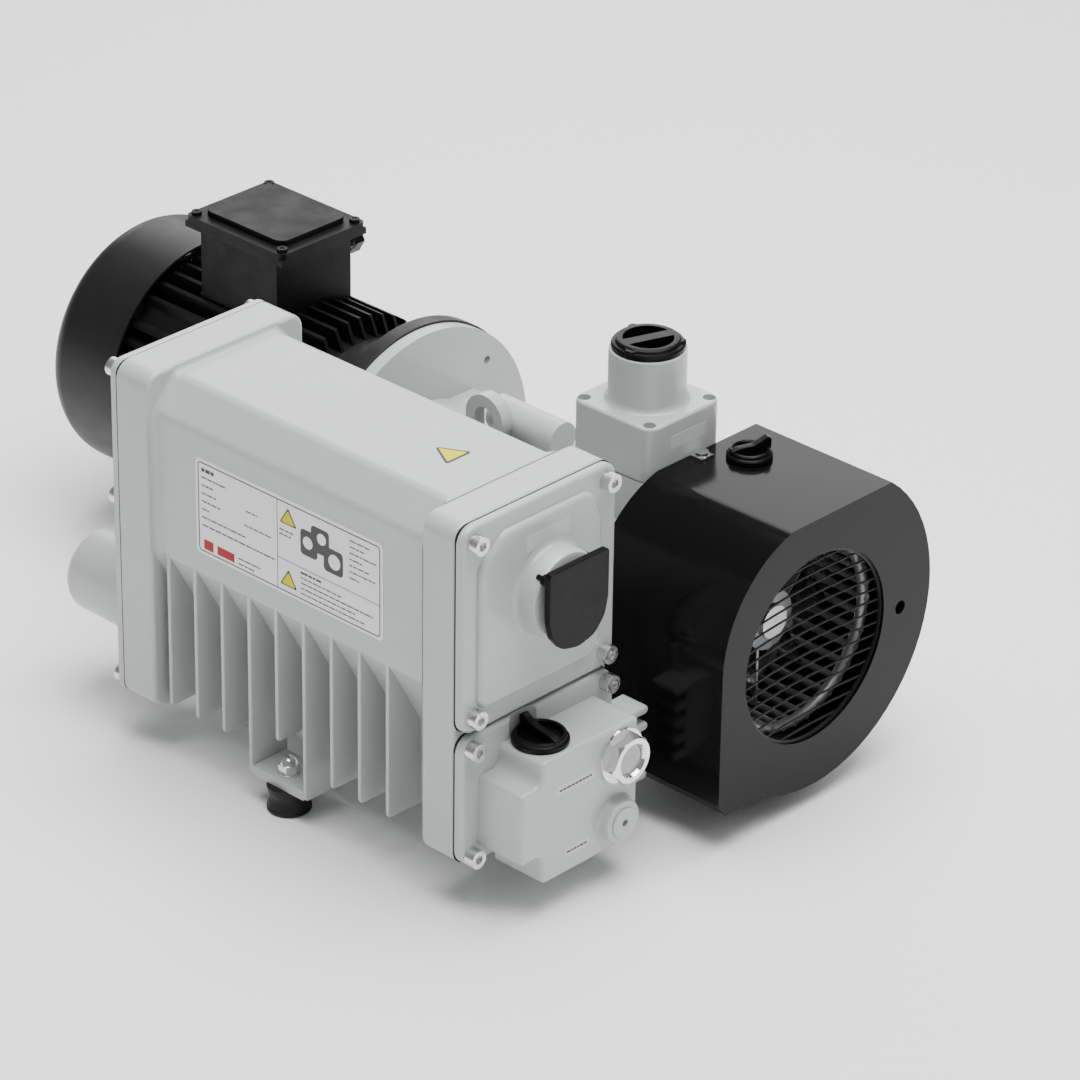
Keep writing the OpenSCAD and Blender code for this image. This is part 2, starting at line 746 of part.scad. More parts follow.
module coupling_half(x0, x1, jaw_x0, jaw_x1, a0, shaft_r) {
    difference() {
        union() {
            rod_x(32, x0, x1, shaft_y, shaft_z);
            for (i = [0 : 2]) jaw(jaw_x0, jaw_x1, a0 + i * 120);
        }
        rod_x(shaft_r, x0 - 1, x1 + 1, shaft_y, shaft_z);
    }
}

module motor_hub() {
    color(steel) coupling_half(-300, -266, -267, -254, 0, motor_shaft_d / 2);
}

module pump_hub() {
    color(steel) coupling_half(-252, -218, -265, -251, 60, pump_shaft_r);
}

module coupling_spider() {
    color([0.7, 0.15, 0.1]) difference() {
        rod_x(29, -264.5, -254.5, shaft_y, shaft_z);
        rod_x(14.2, -265, -254, shaft_y, shaft_z);
        for (i = [0 : 5]) jaw_gap(-265, -254, i * 60);
    }
}

// The room that one jaw takes in the spider, a little wider than the jaw itself
module jaw_gap(x0, x1, a0) {
    translate([x0, shaft_y, shaft_z]) rotate([a0, 0, 0]) rotate([0, 90, 0]) intersection() {
        difference() {
            cylinder(r = 31, h = x1 - x0);
            translate([0, 0, -1]) cylinder(r = 14.6, h = x1 - x0 + 2);
        }
        linear_extrude(height = x1 - x0)
            polygon([[0, 0], [40 * cos(2), -40 * sin(2)], [40 * cos(38), 40 * sin(38)]]);
    }
}

module flange_bolts() {
    color(steel) for (p = FLANGE_BOLTS) translate([flange_x0, p[0], p[1]]) {
        translate([-4, 0, 0]) rotate([0, 90, 0]) cylinder(r = 5.8, h = 4, $fn = 6);
        rod_x(3.1, -1, flange_t + 7, 0, 0);
    }
}

module cooling_fan() {
    color(steel) {
        difference() {
            union() {
                rod_x(22, 4, 34, shaft_y, shaft_z);
                for (i = [0 : 7]) translate([19, shaft_y, shaft_z]) rotate([i * 45, 0, 0])
                    translate([0, 0, 20]) rotate([0, 0, 35]) translate([-14, -1, 0]) cube([28, 2, 42]);
            }
            rod_x(pump_shaft_r, 3, 35, shaft_y, shaft_z);
        }
    }
}

// The cooler is a cage of tubes along X between two ring headers, round the fan
module oil_cooler() {
    color(black) union() {
        for (a = [0 : 10 : 350])
            rod_x(2.6, 0, 60, shaft_y + 70 * cos(a), shaft_z + 70 * sin(a));
        for (x = [1, 56]) translate([x, shaft_y, shaft_z]) rotate([0, 90, 0])
            rotate_extrude() translate([70, 0]) circle(r = 4, $fn = 24);
        for (a = [210, 270, 330])
            rod_x(4, fan_plate_x1, 1, shaft_y + 70 * cos(a), shaft_z + 70 * sin(a));
    }
}

// Middle of the cowl's air opening
guard_y = 270;
guard_z = -163;

// The cowl's outline: flat top and near side, round far side
module cowl_outline(inset) {
    r = cowl_r - inset;
    top = -65 - inset;
    side = 176 + inset;
    bottom = -259 + inset;
    c = [cowl_y, -157];
    n = [263.5, -150];
    nr = n[0] - side;
    a_top = asin((top - c[1]) / r);
    b_top = asin((top - n[1]) / nr);
    a_end = asin((c[1] - bottom) / r) - 180;
    polygon(concat(
        [for (i = [0 : 30]) let (a = a_top - i * (a_top - a_end) / 30)
            [c[0] + r * cos(a), c[1] + r * sin(a)]],
        [[side + 8, bottom], [side, bottom + 10]],
        [for (i = [0 : 12]) let (a = 180 - i * (180 - (180 - b_top)) / 12)
            [n[0] + nr * cos(a), n[1] + nr * sin(a)]]));
}

module fan_cowl() {
    color(black) difference() {
        plate_x(cowl_x0, cowl_x1) cowl_outline(0);
        plate_x(cowl_x0 - 1, cowl_x1 - cowl_t) cowl_outline(cowl_t);
        rod_x(cowl_open_d / 2, cowl_x1 - cowl_t - 1, cowl_x1 + 1, guard_y, guard_z);
        rod_x(5, cowl_x1 - cowl_t - 1, cowl_x1 + 1, 358, -167);
        rod_z(9, -16, 302, -69, -64);
        rod_z(3.2, cowl_screw_x, 280, -69, -64);
        translate([cowl_screw_x, 380, -157]) rotate([-90, 0, 0]) cylinder(r = 3.2, h = 20);
    }
}

// Wires along Y across the air opening, held by a ring behind the cowl's front
module cowl_guard() {
    x = cowl_x1 - cowl_t;
    r = cowl_open_d / 2 + 5;
    color(black) union() {
        difference() {
            rod_x(r, x - 2, x, guard_y, guard_z);
            rod_x(r - 7, x - 3, x + 1, guard_y, guard_z);
        }
        for (i = [-7 : 7]) let (w = sqrt(r * r - i * i * 81) - 2)
            translate([x - 1, guard_y - w, guard_z + i * 9]) rotate([-90, 0, 0]) cylinder(r = 0.8, h = 2 * w, $fn = 12);
    }
}

module cowl_screws() {
    color(steel) {
        translate([cowl_screw_x, 280, -65]) {
            translate([-6, -6, 0]) cube([12, 12, 1.5]);
            translate([0, 0, 1]) cylinder(r = 5, h = 3);
            translate([0, 0, -18]) cylinder(r = 2.95, h = 20);
        }
        translate([cowl_screw_x, cowl_y + cowl_r, -157]) rotate([90, 0, 0]) {
            translate([0, 0, -1]) cylinder(r = 2.95, h = 13);
            translate([0, 0, -cowl_head_h]) cylinder(r = 5, h = cowl_head_h - 0.1);
        }
    }
}

module gas_ballast_valve() {
    color(steel) difference() {
        union() {
            block([fan_plate_x1, 290.5, -102], [-4, 314, -84]);
            rod_z(11, -16, 302, -85, -68);
        }
        rod_z(6.1, -16, 302, -90, -67);
    }
}

module gas_ballast_knob() {
    color(black) translate([-16, 302, -65]) {
        rotate([0, 0, 10]) wing_cap(16);
        translate([0, 0, -21]) cylinder(r = 6, h = 22);
    }
}

rib_step = 11.6;
rib_root_r = 72;
frame_in_r = 66;
pad_z = -80;

module motor_housing() {
    color(black) difference() {
        union() {
            rod_x(rib_root_r, frame_x0, frame_x1, shaft_y, shaft_z);
            intersection() {
                // The ribs end in a slope at the front
                union() {
                    rod_x(motor_r, frame_x0, frame_x1 - 7, shaft_y, shaft_z);
                    translate([frame_x1 - 7.01, shaft_y, shaft_z]) rotate([0, 90, 0])
                        cylinder(r1 = motor_r, r2 = rib_root_r, h = 7);
                }
                union() {
                    for (i = [-4.5 : 1 : 4.5]) {
                        block([frame_x0, shaft_y + i * rib_step - 1.3, shaft_z - 120],
                            [frame_x1, shaft_y + i * rib_step + 1.3, shaft_z + 120]);
                        block([frame_x0, shaft_y - 120, shaft_z + i * rib_step - 1.3],
                            [frame_x1, shaft_y + 120, shaft_z + i * rib_step + 1.3]);
                    }
                    for (a = [45 : 90 : 315]) translate([0, shaft_y, shaft_z]) rotate([a, 0, 0])
                        block([frame_x0, -11, 0], [frame_x1, 11, 82]);
                }
            }
            block([tb_x - 41, shaft_y - 37, shaft_z], [tb_x + 41, shaft_y + 37, pad_z]);
        }
        rod_x(frame_in_r, frame_x0 - 1, frame_x1 + 1, shaft_y, shaft_z);
        // Flat room for the terminal box between the upper ribs
        block([tb_x - 41, shaft_y - 44, pad_z], [tb_x + 41, shaft_y + 44, -40]);
        rod_z(9, tb_x, shaft_y, -100, pad_z + 1);
    }
}

// Front shield of the motor: the flange, and a neck that reaches into the ribbed frame
module motor_flange() {
    color(black) difference() {
        union() {
            rod_x(103.6, flange_x0, flange_x1, shaft_y, shaft_z);
            rod_x(64.9, flange_x1 - 1, flange_x1 + 3.5, shaft_y, shaft_z);
            rod_x(rib_root_r, frame_x1, flange_x0 + 1, shaft_y, shaft_z);
            rod_x(frame_in_r - 0.1, frame_x1 - 8, frame_x1 + 1, shaft_y, shaft_z);
        }
        rod_x(56, frame_x1 - 9, -354, shaft_y, shaft_z);
        rod_x(26, -352, -336, shaft_y, shaft_z);
        rod_x(18, frame_x1 - 9, flange_x1 + 5, shaft_y, shaft_z);
        rod_x(50, -330, flange_x1 + 5, shaft_y, shaft_z);
        for (p = FLANGE_BOLTS) rod_x(3.2, flange_x0 - 1, flange_x1 + 1, p[0], p[1]);
    }
}

module motor_rear_shield() {
    color(black) difference() {
        union() {
            rod_x(71, frame_x0 - 4, frame_x0, shaft_y, shaft_z);
            rod_x(frame_in_r - 0.1, frame_x0 - 1, frame_x0 + 13, shaft_y, shaft_z);
        }
        rod_x(20, frame_x0 + 1, frame_x0 + 13, shaft_y, shaft_z);
        rod_x(16, frame_x0 - 5, frame_x0 + 14, shaft_y, shaft_z);
        rod_x(52, frame_x0 + 7, frame_x0 + 14, shaft_y, shaft_z);
    }
}

module motor_stator() {
    color(steel) difference() {
        union() {
            rod_x(frame_in_r - 0.05, -490, -405, shaft_y, shaft_z);
            rod_x(58, -508, -384, shaft_y, shaft_z);
        }
        rod_x(41, -509, -383, shaft_y, shaft_z);
    }
}

module motor_rotor() {
    color(steel) union() {
        rod_x(40.5, -492, -402, shaft_y, shaft_z);
        rod_x(16, -516, -356, shaft_y, shaft_z);
        rod_x(motor_shaft_d / 2, -574, -266, shaft_y, shaft_z);
    }
}

module motor_fan() {
    color(black) difference() {
        union() {
            rod_x(22, -574, -552, shaft_y, shaft_z);
            rod_x(68, -558, -555, shaft_y, shaft_z);
            for (i = [0 : 7]) translate([0, shaft_y, shaft_z]) rotate([i * 45, 0, 0])
                block([-580, -1.5, 18], [-556, 1.5, 73]);
        }
        rod_x(motor_shaft_d / 2, -581, -551, shaft_y, shaft_z);
    }
}

// The fan cover is a spun shell with a round rear edge and a grid of air slots in its end
module motor_fan_cover() {
    r = fan_cover_r;
    edge = 18;
    color(black) difference() {
        union() {
            translate([cover_x0, shaft_y, shaft_z]) rotate([0, 90, 0]) rotate_extrude() difference() {
                union() {
                    translate([0, edge]) square([r, cover_x1 - cover_x0 - edge]);
                    square([r - edge, edge + 1]);
                    translate([r - edge, edge]) circle(r = edge);
                }
                translate([0, edge]) square([r - 2, 100]);
                translate([0, 2]) square([r - edge, edge]);
                translate([r - edge, edge]) circle(r = edge - 2);
                translate([-200, -200]) square([200, 400]);
            }
            // Spokes that sit on the end of the motor frame
            for (a = [45 : 90 : 315]) translate([0, shaft_y, shaft_z]) rotate([a, 0, 0])
                block([frame_x0 - 12, -6, 73], [frame_x0, 6, r - 1]);
        }
        for (i = [-6 : 6]) block([cover_x0 - 1, shaft_y - sqrt(72 * 72 - i * i * 100), shaft_z + i * 10 - 2.5],
            [cover_x0 + 3, shaft_y + sqrt(72 * 72 - i * i * 100), shaft_z + i * 10 + 2.5]);
    }
}

tb_x = -449;
tb_rim_z = -27;
LID_CORNERS = [for (sx = [-1, 1], sy = [-1, 1]) [tb_x + sx * 44.5, shaft_y + sy * 36]];
gland_x = tb_x + 26;
gland_z = tb_rim_z - 15;

// The terminal box is an open tray on the motor's flat pad
module terminal_box() {
    color(black) difference() {
        union() {
            block([tb_x - 39.5, shaft_y - 37, pad_z], [tb_x + 39.5, shaft_y + 37, tb_rim_z]);
            block([tb_x - 50.5, shaft_y - 42, tb_rim_z - 1], [tb_x + 50.5, shaft_y + 42, tb_rim_z + 4]);
        }
        block([tb_x - 36, shaft_y - 33.5, pad_z + 3.5], [tb_x + 36, shaft_y + 33.5, tb_rim_z + 5]);
        rod_z(9, tb_x, shaft_y, pad_z - 1, pad_z + 5);
        translate([gland_x, shaft_y + 30, gland_z]) rotate([-90, 0, 0]) cylinder(r = 8, h = 10);
        for (p = LID_CORNERS) rod_z(1.7, p[0], p[1], tb_rim_z - 2, tb_rim_z + 5);
    }
}

module terminal_lid() {
    z = tb_rim_z + 4;
    color(black) difference() {
        union() {
            translate([0, 0, z]) linear_extrude(height = 4.5)
                round_rect(tb_x - 50.5, shaft_y - 42, tb_x + 50.5, shaft_y + 42, 5);
            translate([0, 0, z + 4]) linear_extrude(height = 5)
                round_rect(tb_x - 41, shaft_y - 33, tb_x + 41, shaft_y + 33, 8);
        }
        block([tb_x - 36, shaft_y - 29, z - 1], [tb_x + 36, shaft_y + 29, z + 6.5]);
        for (p = LID_CORNERS) rod_z(2.1, p[0], p[1], z - 1, z + 5);
    }
}

module terminal_lid_screws() {
    color(steel) for (p = LID_CORNERS) translate([p[0], p[1], tb_rim_z + 8.5]) difference() {
        union() {
            cylinder(r = 3.8, h = 2.6);
            translate([0, 0, -8]) cylinder(r = 1.65, h = 8.5);
        }
        for (a = [0, 90]) rotate([0, 0, a]) translate([-2.4, -0.4, 1.4]) cube([4.8, 0.8, 2]);
    }
}

// The gland is empty: its bore takes the supply cable
module cable_gland() {
    color(black) translate([gland_x, shaft_y + 37, gland_z]) rotate([-90, 0, 0]) difference() {
        union() {
            translate([0, 0, -4]) cylinder(r = 7.95, h = 5);
            cylinder(r = 11, h = 5, $fn = 6);
            translate([0, 0, 5]) cylinder(r = 10, h = 4);
            translate([0, 0, 9]) cylinder(r = 11, h = 8, $fn = 6);
        }
        translate([0, 0, -5]) cylinder(r = 5, h = 23);
    }
}

placed() separator_housing();
placed() rear_cover();
placed() rear_cover_gasket();
placed() filter_cover();
placed() filter_cover_gasket();
placed() sump_cover();
placed() sump_cover_gasket();
placed() cover_screws();
placed() exhaust_filter();
placed() filter_spring();
placed() exhaust_deflector();
placed() oil_fill_plug();
placed() sight_glass_fitting();
placed() sight_glass_lens();
placed() drain_plug();
placed() nameplate();
placed() float_valve();
placed() float_pin();
placed() oil_filter();
placed() rubber_feet();
placed() foot_nuts();
placed() pump_cylinder();
placed() motor_side_plate();
placed() fan_side_plate();
placed() plate_screws();
placed() pump_rotor();
placed() vane_1();
placed() vane_2();
placed() vane_3();
placed() shaft_bearings();
placed() exhaust_reed();
placed() inlet_flange();
placed() inlet_screws();
placed() inlet_screen();
placed() check_valve_disc();
placed() check_valve_spring();
placed() inlet_plug();
placed() coupling_housing();
placed() motor_hub();
placed() coupling_spider();
placed() pump_hub();
placed() flange_bolts();
placed() cooling_fan();
placed() oil_cooler();
placed() fan_cowl();
placed() cowl_guard();
placed() cowl_screws();
placed() gas_ballast_valve();
placed() gas_ballast_knob();
placed() motor_housing();
placed() motor_flange();
placed() motor_rear_shield();
placed() motor_stator();
placed() motor_rotor();
placed() motor_fan();
placed() motor_fan_cover();
placed() terminal_box();
placed() terminal_lid();
placed() terminal_lid_screws();
placed() cable_gland();
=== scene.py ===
"""Looks of the rotary vane vacuum pump: rounded castings, moulded plugs, wire guard and finishes."""
import json
import math
import random

import bmesh
import bpy
from mathutils import Matrix, Vector


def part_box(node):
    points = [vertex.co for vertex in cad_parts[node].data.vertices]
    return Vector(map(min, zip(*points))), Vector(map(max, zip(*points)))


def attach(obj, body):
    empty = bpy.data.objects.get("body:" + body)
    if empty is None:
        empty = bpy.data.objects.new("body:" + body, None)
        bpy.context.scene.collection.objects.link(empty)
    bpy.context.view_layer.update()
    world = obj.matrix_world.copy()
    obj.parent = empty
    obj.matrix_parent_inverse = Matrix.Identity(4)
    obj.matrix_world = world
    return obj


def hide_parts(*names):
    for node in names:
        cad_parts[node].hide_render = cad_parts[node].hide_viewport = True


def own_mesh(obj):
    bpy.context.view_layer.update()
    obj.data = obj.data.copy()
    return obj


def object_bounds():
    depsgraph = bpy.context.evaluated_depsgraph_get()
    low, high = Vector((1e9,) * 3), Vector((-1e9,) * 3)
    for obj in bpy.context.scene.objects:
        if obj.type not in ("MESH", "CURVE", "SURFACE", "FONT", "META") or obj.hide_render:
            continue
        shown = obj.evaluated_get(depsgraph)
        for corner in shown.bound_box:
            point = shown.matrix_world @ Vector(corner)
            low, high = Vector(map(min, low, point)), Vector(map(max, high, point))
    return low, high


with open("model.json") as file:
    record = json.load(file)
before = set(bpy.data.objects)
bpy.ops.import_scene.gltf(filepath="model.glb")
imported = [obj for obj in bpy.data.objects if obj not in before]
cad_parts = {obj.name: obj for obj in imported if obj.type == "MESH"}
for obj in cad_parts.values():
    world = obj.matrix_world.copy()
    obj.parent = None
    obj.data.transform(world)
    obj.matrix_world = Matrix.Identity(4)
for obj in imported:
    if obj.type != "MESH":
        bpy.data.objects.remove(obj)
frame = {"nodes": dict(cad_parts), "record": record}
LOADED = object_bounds()
RECORD = frame["record"]
SLOT = {s["node"]: s["material_slot"] for s in RECORD["subparts"]}
BODY = {n: b for b, ns in RECORD["behaviour"]["bodies"].items() for n in ns}

# ---------------------------------------------------------------- places, in pump millimetres
# They count from the top front corner of the separator box: x towards the cowl, y to the back, z up.
MM = 0.001
BOX_RIM = 5
LOW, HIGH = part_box("separator_housing")
ORIGIN = Vector((HIGH.x, LOW.y, HIGH.z - BOX_RIM * MM))


def point(x, y, z):
    """A point in pump millimetres, as a vector in the frame's metres."""
    return ORIGIN + Vector((x, y, z)) * MM


def grid(across, down):
    """Every pair of a place across and a place down, row by row."""
    return [(a, b) for b in down for a in across]


# Places seen along x, as (y, z)
FILTER_SCREWS = grid((11, 134), (-12, -140))
SUMP_SCREWS = grid((9, 136), (-163, -244))
REAR_SCREWS = grid((9, 136), (-5, -102, -242))
EXHAUST = (77, -68)
PEGS = ((54, -47), (98, -47), (76, -92))
SIGHT_GLASS = (109, -192)
DRAIN = (105, -239)
FAN_SHAFT = (270, -163)
# Places seen along z, as (x, y)
FILL_PLUG = (24, 57)
BALLAST_KNOB = (-16, 302)
INLET = (-84, 272)
FEET = ((-172.6, 17), (-345, 330), (-70, 330))

RIB_PITCH = 26.4
RIB_X = [-67 - RIB_PITCH * i for i in range(9)]
FOOT_Z = -267
PLATE_Y = 6.0


# ---------------------------------------------------------------- camera, floor, light
LENS_MM = 174.06
CAMERA_PLACE = (2.3046, -2.2812, 1.8478)
CAMERA_AZIMUTH, CAMERA_HEIGHT, CAMERA_ROLL = 43.365, 28.24, -0.846
FLOOR_HALF = 6
FLOOR_GAP = 0.0005
WORLD_STRENGTH = 0.28


def placed_object(name, data):
    """A new object in the scene."""
    obj = bpy.data.objects.new(name, data)
    bpy.context.scene.collection.objects.link(obj)
    return obj


def set_camera():
    data = bpy.data.cameras.new("camera")
    data.sensor_width = 36.0
    data.lens = LENS_MM
    data.clip_end = 50.0
    camera = placed_object("camera", data)
    camera.matrix_world = (
        Matrix.Translation(CAMERA_PLACE)
        @ Matrix.Rotation(math.radians(CAMERA_AZIMUTH), 4, "Z")
        @ Matrix.Rotation(math.pi / 2 - math.radians(CAMERA_HEIGHT), 4, "X")
        @ Matrix.Rotation(-math.radians(CAMERA_ROLL), 4, "Z")
    )
    bpy.context.scene.camera = camera


def area_light(name, place, target, size, power):
    data = bpy.data.lights.new(name, "AREA")
    data.shape = "RECTANGLE"
    data.size, data.size_y = size
    data.energy = power
    light = placed_object(name, data)
    light.location = place
    light.rotation_euler = (Vector(target) - Vector(place)).to_track_quat("-Z", "Y").to_euler()


def set_lights():
    area_light("top", (0.3, 0.15, 2.6), (0, 0, 0.1), (2.6, 2.4), 165)
    area_light("back", (-2.0, 2.0, 1.5), (0, 0, 0.15), (2.6, 1.8), 45)
    area_light("key", (2.2, 0.4, 1.9), (0, 0, 0.1), (1.2, 1.2), 6)


def set_world():
    world = bpy.data.worlds.new("world")
    bpy.context.scene.world = world
    world.use_nodes = True
    background = world.node_tree.nodes["Background"]
    background.inputs["Color"].default_value = (1, 1, 1, 1)
    background.inputs["Strength"].default_value = WORLD_STRENGTH


def set_floor(floor_material):
    """A plain floor just under the feet."""
    h = FLOOR_HALF
    mesh = bpy.data.meshes.new("floor")
    mesh.from_pydata([(-h, -h, 0), (h, -h, 0), (h, h, 0), (-h, h, 0)], [], [(0, 1, 2, 3)])
    mesh.materials.append(floor_material)
    floor = placed_object("floor", mesh)
    floor.location.z = LOADED[0][2] - FLOOR_GAP


# ---------------------------------------------------------------- materials
MATERIALS = {}
BUMP_DEPTH = 0.0004


def noise(tree, coords, scale, detail):
    """A noise texture that stays on the object."""
    texture = tree.nodes.new("ShaderNodeTexNoise")
    texture.inputs["Scale"].default_value = scale
    texture.inputs["Detail"].default_value = detail
    tree.links.new(coords.outputs["Object"], texture.inputs["Vector"])
    return texture


def material(name, colour, metallic=0.0, roughness=0.5, coat=0.0, coat_roughness=0.1, bump=0.0,
             bump_scale=600.0, spot=0.0, spot_scale=60.0, transmission=0.0, ior=1.5, specular=0.5):
    """A painted, moulded or metal surface: spot varies its gloss slowly, bump roughens it finely."""
    surface = bpy.data.materials.new(name)
    surface.use_nodes = True
    tree = surface.node_tree
    shader = tree.nodes["Principled BSDF"]
    values = {
        "Base Color": (*colour, 1), "Metallic": metallic, "Roughness": roughness, "Coat Weight": coat,
        "Coat Roughness": coat_roughness, "Transmission Weight": transmission, "IOR": ior,
        "Specular IOR Level": specular,
    }
    for key, value in values.items():
        shader.inputs[key].default_value = value
    coords = tree.nodes.new("ShaderNodeTexCoord")
    if spot:
        slow = noise(tree, coords, spot_scale, 3)
        gloss = tree.nodes.new("ShaderNodeMapRange")
        gloss.inputs["From Min"].default_value = 0.3
        gloss.inputs["From Max"].default_value = 0.7
        gloss.inputs["To Min"].default_value = max(0.02, roughness - spot)
        gloss.inputs["To Max"].default_value = roughness + spot
        tree.links.new(slow.outputs["Fac"], gloss.inputs["Value"])
        tree.links.new(gloss.outputs["Result"], shader.inputs["Roughness"])
    if bump:
        fine = noise(tree, coords, bump_scale, 2)
        relief = tree.nodes.new("ShaderNodeBump")
        relief.inputs["Strength"].default_value = bump
        relief.inputs["Distance"].default_value = BUMP_DEPTH
        tree.links.new(fine.outputs["Fac"], relief.inputs["Height"])
        tree.links.new(relief.outputs["Normal"], shader.inputs["Normal"])
    MATERIALS[name] = surface


def make_paints():
    material("casting_paint", (0.43, 0.452, 0.448), roughness=0.36, coat=0.35, coat_roughness=0.14,
             bump=0.10, bump_scale=700, spot=0.05)
    material("motor_paint", (0.0035, 0.0035, 0.0035), roughness=0.5, bump=0.25, bump_scale=900,
             spot=0.06, specular=0.18)
    material("black_paint", (0.009, 0.009, 0.0095), roughness=0.4, bump=0.06, spot=0.05, specular=0.25)
    material("cowl_gloss", (0.003, 0.003, 0.003), roughness=0.14, bump=0.02, bump_scale=350,
             spot=0.03, spot_scale=25, specular=0.16)


def make_metals():
    material("zinc_steel", (0.66, 0.66, 0.67), metallic=1, roughness=0.28, bump=0.05, spot=0.08,
             spot_scale=200)
    material("machined_steel", (0.55, 0.55, 0.56), metallic=1, roughness=0.32, bump=0.08,
             bump_scale=1500, spot=0.08)
    material("bright_chrome", (0.80, 0.80, 0.81), metallic=1, roughness=0.12, spot=0.04, spot_scale=150)
    material("fan_alloy", (0.20, 0.205, 0.215), metallic=1, roughness=0.3, bump=0.1, spot=0.1)
    material("cooler_steel", (0.24, 0.24, 0.245), metallic=0.6, roughness=0.38, bump=0.05, spot=0.06)
    material("winding_iron", (0.12, 0.05, 0.02), roughness=0.5, bump=0.4, bump_scale=1500)


def make_plastics():
    material("black_plastic", (0.0035, 0.0035, 0.0038), roughness=0.3, bump=0.05, bump_scale=900,
             spot=0.05, specular=0.12)
    material("gasket_black", (0.010, 0.010, 0.010), roughness=0.7, specular=0.3)
    material("foot_rubber", (0.006, 0.006, 0.006), roughness=0.5, bump=0.12, bump_scale=500,
             spot=0.08, specular=0.35)
    material("spider_rubber", (0.45, 0.04, 0.02), roughness=0.5, bump=0.1)
    material("filter_fibre", (0.75, 0.72, 0.62), roughness=0.9, bump=0.8, bump_scale=1200)
    material("vane_composite", (0.05, 0.042, 0.03), roughness=0.6, bump=0.1)
    material("float_shell", (0.6, 0.6, 0.55), roughness=0.5, spot=0.05)
    material("lens_glass", (0.85, 0.88, 0.84), roughness=0.05, transmission=0.6, ior=1.45)


def make_prints():
    material("plate_foil", (0.80, 0.81, 0.80), roughness=0.35, spot=0.04)
    material("plate_ink", (0.02, 0.02, 0.02), roughness=0.5)
    material("plate_red", (0.34, 0.006, 0.010), roughness=0.5, specular=0.3)
    material("sticker_yellow", (0.66, 0.57, 0.0), roughness=0.5, specular=0.2)
    material("label_pale", (0.52, 0.54, 0.53), roughness=0.3, coat=0.2)
    material("floor_pale", (0.96, 0.96, 0.96), roughness=0.8)


# ---------------------------------------------------------------- meshes and pieces
# Degrees: an edge is sharp from CREASE and bevelled from BEVEL_FROM, and faces within FLAT are one face
CREASE, BEVEL_FROM, FLAT = 32, 30, 0.6
# Metres: vertices this close are one vertex
WELD = 2e-6


def smooth(mesh, crease=CREASE):
    """Smooth shading with sharp creases."""
    mesh.shade_smooth()
    mesh.set_sharp_from_angle(angle=math.radians(crease))


def piece(name, mesh, body, slot, replaced=()):
    """A visible piece of the given material that rides on a body and may stand for CAD nodes."""
    obj = placed_object(name, mesh)
    mesh.materials.clear()
    mesh.materials.append(MATERIALS[slot])
    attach(obj, body)
    if replaced:
        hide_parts(*replaced)
    return obj


def evaluated(obj):
    """The mesh of an object with its modifiers applied."""
    bpy.context.view_layer.update()
    graph = bpy.context.evaluated_depsgraph_get()
    return bpy.data.meshes.new_from_object(obj.evaluated_get(graph))


def even_normals(mesh, crease=CREASE):
    """The mesh with smooth shading, where large flat faces keep their own normal."""
    smooth(mesh, crease)
    temp = placed_object("temp", mesh)
    normals = temp.modifiers.new("normals", "WEIGHTED_NORMAL")
    normals.keep_sharp = True
    normals.weight = 90
    out = evaluated(temp)
    bpy.data.objects.remove(temp)
    return out


def soften(node, width):
    """A piece from a CAD node's mesh with its sharp edges rounded, which then stands for the node."""
    bm = bmesh.new()
    bm.from_mesh(frame["nodes"][node].data)
    bmesh.ops.remove_doubles(bm, verts=bm.verts, dist=WELD)
    bmesh.ops.dissolve_limit(bm, angle_limit=math.radians(FLAT), verts=bm.verts, edges=bm.edges)
    mesh = bpy.data.meshes.new("soft")
    bm.to_mesh(mesh)
    bm.free()
    temp = placed_object("temp", mesh)
    bevel = temp.modifiers.new("bevel", "BEVEL")
    bevel.width = width * MM
    bevel.segments = 2
    bevel.limit_method = "ANGLE"
    bevel.angle_limit = math.radians(BEVEL_FROM)
    bevel.use_clamp_overlap = True
    bevel.loop_slide = True
    out = even_normals(evaluated(temp))
    bpy.data.objects.remove(temp)
    piece(node + "_shaped", out, BODY[node], SLOT[node], [node])


# ---------------------------------------------------------------- outlines, as lists of 2-D vectors
def quarter(steps):
    """The run and the fall of a quarter circle of radius 1, from its steep end to its flat end."""
    angles = [math.pi / 2 * k / steps for k in range(steps + 1)]
    return [(1 - math.cos(a), 1 - math.sin(a)) for a in angles]


def rounded(points, radii, steps=5):
    """A closed outline whose corners are replaced by arcs."""
    out = []
    n = len(points)
    for i in range(n):
        r = radii[i] if isinstance(radii, (list, tuple)) else radii
        p, before, after = Vector(points[i]), Vector(points[i - 1]), Vector(points[(i + 1) % n])
        if r <= 0:
            out.append(p)
            continue
        u, v = (before - p).normalized(), (after - p).normalized()
        half = u.angle(v) / 2
        centre = p + (u + v).normalized() * (r / math.sin(half))
        start = p + u * (r / math.tan(half)) - centre
        end = p + v * (r / math.tan(half)) - centre
        sweep = math.atan2(start.x * end.y - start.y * end.x, start.dot(end))
        for k in range(steps + 1):
            a = sweep * k / steps
            out.append(centre + Vector((start.x * math.cos(a) - start.y * math.sin(a),
                                        start.x * math.sin(a) + start.y * math.cos(a))))
    return out


def rect(a0, b0, a1, b1, r, steps=6):
    return rounded([(a0, b0), (a1, b0), (a1, b1), (a0, b1)], r, steps)


def ring(r, centre, n=64, start=0.0):
    return [Vector((centre[0] + r * math.cos(start + 2 * math.pi * k / n),
                    centre[1] + r * math.sin(start + 2 * math.pi * k / n))) for k in range(n)]


